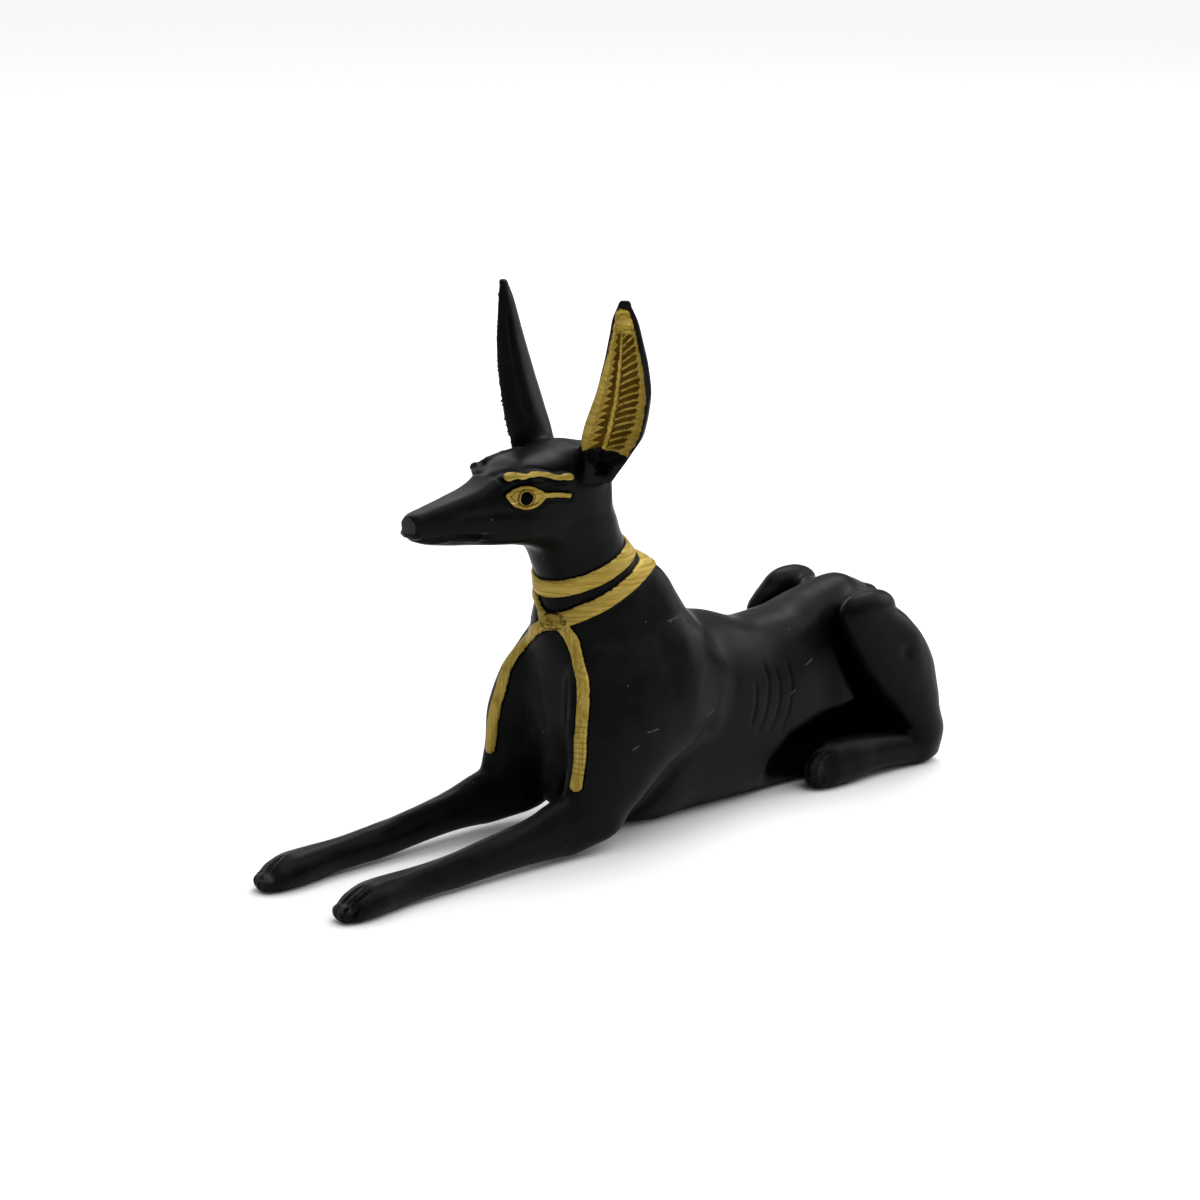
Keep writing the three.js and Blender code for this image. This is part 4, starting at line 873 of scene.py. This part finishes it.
def recess(p):
    """How closed in each place is, from 0 in the open to 1: near by for grooves and wider for hollows; the paint turns
    this into painted shade.
    """
    solid = lambda q: figure(q, True)
    close, wide = [], []
    for lot in in_lots(p):
        here = solid(lot)
        normal = np.stack([solid(lot + 0.05 * np.eye(3)[i]) - here for i in range(3)], -1)
        normal /= np.maximum(lengths(normal), 1e-9)[:, None]
        blocked = [1 - np.clip(solid(lot + h * normal) / h, 0, 1) for h in (0.8, 1.6, 3.5, 7.0, 12.0)]
        close.append(0.5 * (blocked[0] + blocked[1]))
        wide.append((blocked[2] + blocked[3] + blocked[4]) / 3)
    return np.concatenate(close), np.concatenate(wide)


def paint_marks(p):
    """How far inside each paint's edge every corner is, in parts, with the places that its pattern needs and where
    painted shade and a painted highlight go.
    """
    m = mirrored(p)
    y, z = p[:, Y], p[:, Z]
    gold, almond, ear_gold, across, knot = (np.full(len(p), -9.0) for _ in range(5))
    iris = np.full(len(p), 9.0)
    up, ticks, walked = (np.zeros(len(p)) for _ in range(3))

    zone = boxed(p, y=(-999, 25), z=(50, 84))
    gold[zone] = np.maximum(*bands(p[zone]))
    zone = boxed(p, y=(-40, -18), z=(14, 62))
    q = p[zone]
    inside = knot[zone] = inside_knot(q)
    for line, (first, last) in zip(ribbons, NOTCHED):
        within, gap, along = inside_ribbon(q, line)
        inside = np.maximum(inside, within)
        near = gap < 4
        at = np.flatnonzero(zone)[near]
        walked[at] = along[near] * RIBBON_LENGTH
        ticks[at] = (ramp((along - first) / 0.04) * ramp((last - along) / 0.04))[near]
    gold[zone] = np.maximum(gold[zone], inside)

    face = boxed(p, y=(-999, -22), z=(80, 103))
    q = m[face]
    almond[face] = inside_eye(q)
    brow = inside_brow(q) - 2.0 * ramp(-p[face, X] / 2) * ramp((-36.5 - q[:, Y]) / 3)
    gold[face] = inside_eye_paint(almond[face], side_on(q, eye_tail)[0], brow)
    iris[face] = lengths((q - eye_centre)[:, 1:] + 0.12 * noise(q, 1.1, 11)[:, None])

    ears = boxed(m, x=(6, 99), z=(93, 999))
    share, s, inside = ear_marks(m[ears])
    foot = s - 6.7 - ramp(-share) + 0.8 * noise(m[ears], 1.6, 13)
    ear_gold[ears] = np.minimum(inside, foot) - (p[ears, X] < 0) * (0.4 + 1.3 * ramp(-share))
    across[ears], up[ears] = share, s

    nose = ramp((-69.3 - y) / 0.5) * ramp((z - 86.0) / 1.5)
    toes = ramp((-100.5 - y) / 3.5) * ramp((z - 1.5) / 2.5)
    toes = np.maximum(toes, 0.7 * ramp((57 - y) / 3) * boxed(m, x=(11, 99), y=(50, 999), z=(-99, 12)))
    worn_and_lit = nose + 0.75 * toes
    # a painted highlight along the lower lip is carried in with the wear
    gap, way = side_on(q, mouth)
    lip = bump((gap - 0.95) / 0.55) * (q[:, Z] < 84.8) * (p[face, X] > 0)
    worn_and_lit[face] += 0.75 * lip * np.maximum(bump((way - 0.42) / 0.12), bump((way - 0.82) / 0.16))
    worn_and_lit += 0.35 * bump((lengths(p - casting_pit) - 1.15) / 0.5)

    # groove and hollow say where the paint is darkened as painted shade, by how closed in each corner is
    groove, hollow = recess(p)
    # the trough cut before the thigh is painted as shade too
    near = boxed(m, x=(5, 99), y=(40, 90), z=(-99, 54))
    cut = tube(thigh_place(p[near], m[near]), flank_hollow)
    leg = hind_leg(p[near], m[near])
    hollow[near] = np.maximum(hollow[near], 0.8 * ramp((0.9 - np.abs(cut)) / 0.8) * ramp(leg - 0.5))
    ribbon = ramp((58.0 - z) / 2.0)
    return dict(gold=gold, iris=iris, almond=almond, ear_gold=ear_gold, ear_across=across, ear_up=up, worn_and_lit=worn_and_lit,
                groove=groove, hollow=hollow, ribbon=ribbon, ticks=ticks, walked=walked, knot=knot)


scene = bpy.context.scene


def show(name, data, place=(0, 0, 0), aim=None):
    """Puts an object into the scene, turned towards its aim if it has one."""
    obj = bpy.data.objects.new(name, data)
    obj.location = place
    if aim is not None:
        away = np.array(obj.location) - np.array(aim)
        yaw = math.atan2(away[0], -away[1])
        pitch = math.atan2(away[2], math.hypot(away[0], away[1]))
        obj.rotation_euler = (math.pi / 2 - pitch, 0.0, yaw)
    scene.collection.objects.link(obj)
    return obj


mesh = bpy.data.meshes.new("jackal_casting")
mesh.from_pydata(shown.tolist(), [], triangles.tolist())
mesh.polygons.foreach_set("use_smooth", np.ones(len(triangles), bool))
for name, values in paint_marks(places).items():
    attribute = mesh.attributes.new(name, "FLOAT", "POINT")
    attribute.data.foreach_set("value", values.astype(np.float32))
mesh.update()
jackal = show("jackal_casting", mesh)
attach(jackal, "root")
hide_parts("anubis_jackal")


# Paint
class Shade:
    """Short words for the nodes of one material."""

    def __init__(self, name):
        self.material = bpy.data.materials.new(name)
        self.material.use_nodes = True
        self.tree = self.material.node_tree
        self.tree.nodes.clear()

    def node(self, kind, inputs=(), **settings):
        n = self.tree.nodes.new("ShaderNode" + kind)
        for key, value in settings.items():
            setattr(n, key, value)
        for key, value in dict(inputs).items():
            if isinstance(value, bpy.types.NodeSocket):
                self.tree.links.new(value, n.inputs[key])
            else:
                n.inputs[key].default_value = value
        return n

    def finish(self, inputs):
        self.node("OutputMaterial", {"Surface": self.node("BsdfPrincipled", inputs).outputs[0]})
        return self.material

    def mark(self, name):
        return self.node("Attribute", attribute_name=name).outputs["Fac"]

    def math(self, operation, a, b=0.0, c=0.0):
        return self.node("Math", {0: a, 1: b, 2: c}, operation=operation).outputs[0]

    def times(self, a, b):
        return self.math("MULTIPLY", a, b)

    def plus(self, a, b):
        return self.math("ADD", a, b)

    def minus(self, a, b):
        return self.math("SUBTRACT", a, b)

    def most(self, a, b):
        return self.math("MAXIMUM", a, b)

    def scaled(self, value, factor, more):
        """The value times the factor, and more added."""
        return self.math("MULTIPLY_ADD", value, factor, more)

    def off(self, value, middle):
        return self.math("ABSOLUTE", self.minus(value, middle))

    def uneven(self, value, grain, width):
        """The value moved to either side by a grain, over that width in all."""
        return self.plus(value, self.scaled(grain, width, -width / 2))

    def between(self, value, start, end, to_start=0.0, to_end=1.0):
        """The value moved from one range to another, smoothly and without leaving it."""
        inputs = {"Value": value, "From Min": start, "From Max": end, "To Min": to_start, "To Max": to_end}
        return self.node("MapRange", inputs, interpolation_type="SMOOTHSTEP").outputs["Result"]

    def mix(self, share, a, b):
        return self.node("Mix", {0: share, 6: a, 7: b}, data_type="RGBA").outputs[2]

    def grain(self, place, scale, detail, roughness):
        inputs = {"Vector": place, "Scale": scale, "Detail": detail, "Roughness": roughness}
        return self.node("TexNoise", inputs).outputs["Fac"]

    def vector(self, operation, inputs, output=0):
        return self.node("VectorMath", inputs, operation=operation).outputs[output]

    def near_line(self, place, start, end, half):
        """1 on a short straight line, falling to 0 at half its width."""
        step = end - start
        arm = self.vector("SUBTRACT", {0: place, 1: tuple(start)})
        share = tuple(step / max(step @ step, 1e-12))
        along = self.vector("DOT_PRODUCT", {0: arm, 1: share}, "Value")
        along = self.node("Clamp", {"Value": along}).outputs[0]
        foot = self.vector("SCALE", {0: tuple(step), "Scale": along})
        gap = self.vector("DISTANCE", {0: arm, 1: foot}, "Value")
        return self.between(gap, half, 0.4 * half)

    def brush(self, place, scales):
        """A grain drawn out along one or two axes."""
        return self.grain(self.node("Mapping", {"Vector": place, "Scale": scales}).outputs[0], 1.0, 3.0, 0.6)


def color(r, g, b):
    return (r, g, b, 1.0)


JET, PALE_JET, JET_HAZE = color(0.0016, 0.002, 0.0018), color(0.003, 0.0036, 0.0033), color(0.0044, 0.0052, 0.0049)
# the middle grey below is rubbed paint on the nose and toes, and also a painted highlight along the lip
DUST, WORN_AND_LIT_GREY, SCRATCHED = color(0.04, 0.042, 0.04), color(0.03, 0.032, 0.03), color(0.075, 0.082, 0.078)
# the first black below is painted shade for grooves, hollows and the dips beside the gold
SHADE_BLACK, PUPIL = color(0.0005, 0.0006, 0.0005), color(0.001, 0.001, 0.0009)
GOLD, BRUSHED_GOLD = color(0.285, 0.195, 0.03), color(0.41, 0.3, 0.068)
# the brighter gold below is a painted highlight laid along the brush streaks
GOLD_STREAK_HIGHLIGHT, DULL_GOLD = color(0.66, 0.56, 0.26), color(0.19, 0.124, 0.02)
# the first brown below is painted shade for the gold in its grooves
GOLD_GROOVE_SHADE, NOTCH_BROWN = color(0.07, 0.04, 0.004), color(0.075, 0.045, 0.006)
KNOT_BROWN, EYE_BROWN = color(0.05, 0.028, 0.003), color(0.055, 0.028, 0.004)
EAR_BROWN, PALE_EAR_BROWN = color(0.05, 0.025, 0.0006), color(0.09, 0.049, 0.0018)
EAR_GOLD, BRUSHED_EAR_GOLD = color(0.33, 0.222, 0.03), color(0.45, 0.325, 0.072)


def casting_paint():
    s = Shade("black_and_gold_paint")
    place = s.node("TexCoord").outputs["Object"]
    fine = s.grain(place, 2600.0, 3.0, 0.6)
    small = s.grain(place, 700.0, 3.0, 0.6)
    broad = s.grain(place, 60.0, 3.0, 0.55)
    cloud = s.grain(place, 220.0, 4.0, 0.6)
    # brush marks run round the collar and down the ribbons
    around = s.brush(place, (90.0, 90.0, 1700.0))
    down = s.brush(place, (1500.0, 1500.0, 90.0))

    gold_in = s.uneven(s.uneven(s.mark("gold"), small, 0.5), cloud, 0.5)
    gold = s.between(gold_in, 0.08, 0.24)
    ear_gold = s.between(s.uneven(s.mark("ear_gold"), small, 0.8), 0.0, 0.2)
    # a dark band along the gold's edge is painted shade for the dip beside the raised paint
    edge_shade = s.between(s.math("MINIMUM", s.plus(gold_in, 0.45), s.minus(0.6, gold_in)), 0.0, 0.3)

    # the eye: a black pupil in a thin brown ring and a brown line inside the rim
    iris, almond = s.mark("iris"), s.mark("almond")
    pupil = s.between(iris, 1.8, 1.62)
    ring = s.between(s.off(iris, 2.12), 0.2, 0.1)
    line = s.times(s.between(s.off(almond, 0.42), 0.26, 0.12), s.between(small, 0.4, 0.56))
    brown = s.times(s.most(ring, s.times(line, 0.8)), s.between(almond, -0.25, -0.05))

    # painted shade: grooves, hollows and a band along the gold's edge are painted near black and dull
    hollow = s.between(s.uneven(s.mark("hollow"), cloud, 0.12), 0.36, 0.72)
    groove = s.between(s.mark("groove"), 0.22, 0.6)
    painted_shade = s.most(s.most(hollow, s.times(groove, 0.9)), s.times(edge_shade, 0.9))

    black = s.mix(s.between(cloud, 0.3, 0.7), JET, PALE_JET)
    black = s.mix(s.between(broad, 0.35, 0.75, 0.0, 0.6), black, JET_HAZE)
    black = s.mix(s.between(fine, 0.74, 0.8, 0.0, 0.35), black, DUST)
    # rubbed paint on the nose and toes, with a painted highlight along the lip
    wear_and_highlight = s.between(s.uneven(s.mark("worn_and_lit"), cloud, 1.2), 0.35, 0.8)
    black = s.mix(wear_and_highlight, black, WORN_AND_LIT_GREY)
    marked = 0.0
    for start, end in scratches + [(speck, speck) for speck in specks]:
        half = SCRATCH_HALF if start != end else SPECK_HALF
        marked = s.most(marked, s.near_line(place, placed(start), placed(end), half))
    black = s.mix(s.times(marked, s.between(fine, 0.4, 0.55, 0.3, 0.9)), black, SCRATCHED)
    # painted shade: closed-in places and the gold's edge band turn near black
    black = s.mix(painted_shade, black, SHADE_BLACK)

    ribbon = s.mark("ribbon")
    strokes = s.plus(s.times(around, s.minus(1.0, ribbon)), s.times(down, ribbon))
    brushed = s.between(strokes, 0.36, 0.62)
    leaf = s.mix(brushed, GOLD, BRUSHED_GOLD)
    # painted highlights along the brightest brush streaks
    leaf = s.mix(s.between(strokes, 0.66, 0.74), leaf, GOLD_STREAK_HIGHLIGHT)
    leaf = s.mix(s.between(cloud, 0.55, 0.8, 0.0, 0.5), leaf, DULL_GOLD)
    # painted shade darkens the gold in its grooves
    leaf = s.mix(s.times(groove, 0.6), leaf, GOLD_GROOVE_SHADE)
    turn = s.scaled(small, 2.4, s.times(s.mark("walked"), NOTCH_TURN))
    tick = s.times(s.mark("ticks"), s.between(s.math("SINE", turn), 0.3, 0.8))
    leaf = s.mix(s.times(tick, 0.4), leaf, NOTCH_BROWN)
    loop = s.between(s.off(s.mark("knot"), 0.1), 0.3, 0.12)
    leaf = s.mix(s.times(loop, s.between(small, 0.38, 0.52, 0.2, 0.9)), leaf, KNOT_BROWN)
    leaf = s.mix(brown, leaf, EYE_BROWN)

    # the ear: a pale toothed strip in front, a pale thin ridge, slanting pale ribs behind it, a pale rim and tip
    up = s.mark("ear_up")
    across = s.uneven(s.mark("ear_across"), small, 0.22)
    teeth = s.math("PINGPONG", s.plus(up, s.times(small, 0.6)), 1.0)
    reach = s.between(up, 8.0, 34.0, 0.5, 0.26)
    strip = s.between(s.minus(s.scaled(teeth, reach, -0.8), across), -0.03, 0.05)
    middle = s.between(up, 6.0, 28.0, -0.02, -0.26)
    ridge = s.times(s.between(s.off(across, middle), 0.13, 0.07), s.between(up, 41.0, 38.0))
    slant = s.minus(up, s.times(across, 3.4))
    rib = s.between(s.math("PINGPONG", s.plus(slant, s.times(small, 0.5)), 1.0), 0.62, 0.82)
    behind = s.between(s.minus(across, middle), 0.12, 0.2)
    rib = s.times(rib, s.times(behind, s.between(small, 0.36, 0.5, 0.25, 0.85)))
    rim = s.between(s.scaled(teeth, -0.1, across), 0.68, 0.74)
    tip = s.between(s.scaled(small, 3.0, up), 38.5, 40.0)
    foot = s.times(s.between(up, 8.0, 6.0), s.between(cloud, 0.45, 0.55))
    tone = s.most(s.most(strip, ridge), s.most(rib, rim))
    tone = s.most(tone, s.most(tip, foot))
    ear_leaf = s.mix(s.between(cloud, 0.35, 0.65), EAR_BROWN, PALE_EAR_BROWN)
    ear_leaf = s.mix(tone, ear_leaf, s.mix(brushed, EAR_GOLD, BRUSHED_EAR_GOLD))

    base = s.mix(gold, black, leaf)
    base = s.mix(pupil, base, PUPIL)
    base = s.mix(ear_gold, base, ear_leaf)

    gilt = s.most(s.times(gold, s.minus(1.0, pupil)), ear_gold)
    satin = s.between(cloud, 0.25, 0.75, 0.3, 0.42)
    satin = s.scaled(painted_shade, 0.3, s.scaled(wear_and_highlight, 0.2, satin))
    gold_satin = s.between(brushed, 0.0, 1.0, 0.56, 0.42)
    rough = s.node("Mix", {0: gilt, 2: satin, 3: gold_satin}, data_type="FLOAT").outputs[0]
    # the painted shade and the pupil are made metallic on a near black colour so that they reflect almost nothing
    metal = s.times(s.times(s.most(painted_shade, pupil), 0.85), s.minus(1.0, gilt))
    metal = s.scaled(gilt, 0.3, metal)

    height = s.scaled(small, 0.3, s.times(cloud, 0.4))
    height = s.plus(height, s.times(s.times(strokes, gilt), 1.6))
    height = s.plus(height, s.times(tone, ear_gold))
    height = s.minus(height, s.times(tick, 0.8))
    tooth = s.node("Bump", {"Strength": 0.5, "Distance": 0.00012, "Height": height}).outputs[0]

    return s.finish({"Base Color": base, "Roughness": rough, "Metallic": metal, "Normal": tooth,
                     "Specular IOR Level": 0.055})


mesh.materials.append(casting_paint())


# Floor, light and camera
rim = np.linspace(0, 2 * np.pi, 96, endpoint=False)
floor_mesh = bpy.data.meshes.new("floor")
floor_mesh.from_pydata([(9 * math.cos(turn), 9 * math.sin(turn), 0) for turn in rim], [], [list(range(96))])
floor_mesh.materials.append(Shade("pale_floor").finish(
    {"Base Color": color(0.88, 0.88, 0.88), "Roughness": 0.7, "Specular IOR Level": 0.1}))
show("floor", floor_mesh, (0, 0, -0.00005))


def soft_light(name, place, size, power):
    lamp = bpy.data.lights.new(name, "AREA")
    lamp.shape = "RECTANGLE"
    lamp.size, lamp.size_y = size
    lamp.energy = power
    show(name, lamp, place, (0, 0, 0.05))


sky = bpy.data.lights.new("high_soft_light", "SUN")
sky.energy = 2.3
sky.angle = math.radians(70)
show("high_soft_light", sky, (0.2, 0.5, 1.5), (0, 0, 0))
soft_light("rear_right", (0.35, 1.25, 0.55), (0.9, 0.7), 6.0)
soft_light("rear_left", (-1.1, 0.25, 0.6), (0.9, 0.7), 3.5)
soft_light("rear_high", (-0.45, 0.75, 1.1), (0.8, 0.6), 6.0)

world = bpy.data.worlds.new("studio")
world.use_nodes = True
background = world.node_tree.nodes["Background"].inputs
background[0].default_value = color(1, 1, 1)
background[1].default_value = 0.4
scene.world = world
scene.view_settings.view_transform = "Standard"

# The photograph's view: turned 47 degrees to the figure's left and 14.3 degrees above it, 900 parts away
azimuth, elevation = math.radians(47.0), math.radians(14.3)
FOCAL_PIXELS, FRAME_PIXELS, AWAY = 3555, 1200, 900
level = math.cos(elevation)
back = np.array([math.sin(azimuth) * level, -math.cos(azimuth) * level, math.sin(elevation)])
aim = placed([0.0, -6.8, 59.3])
camera = bpy.data.cameras.new("camera")
camera.sensor_width = 36.0
camera.lens = FOCAL_PIXELS / FRAME_PIXELS * camera.sensor_width
camera.clip_start = 0.05
scene.camera = show("camera", camera, aim + back * AWAY * unit, aim)
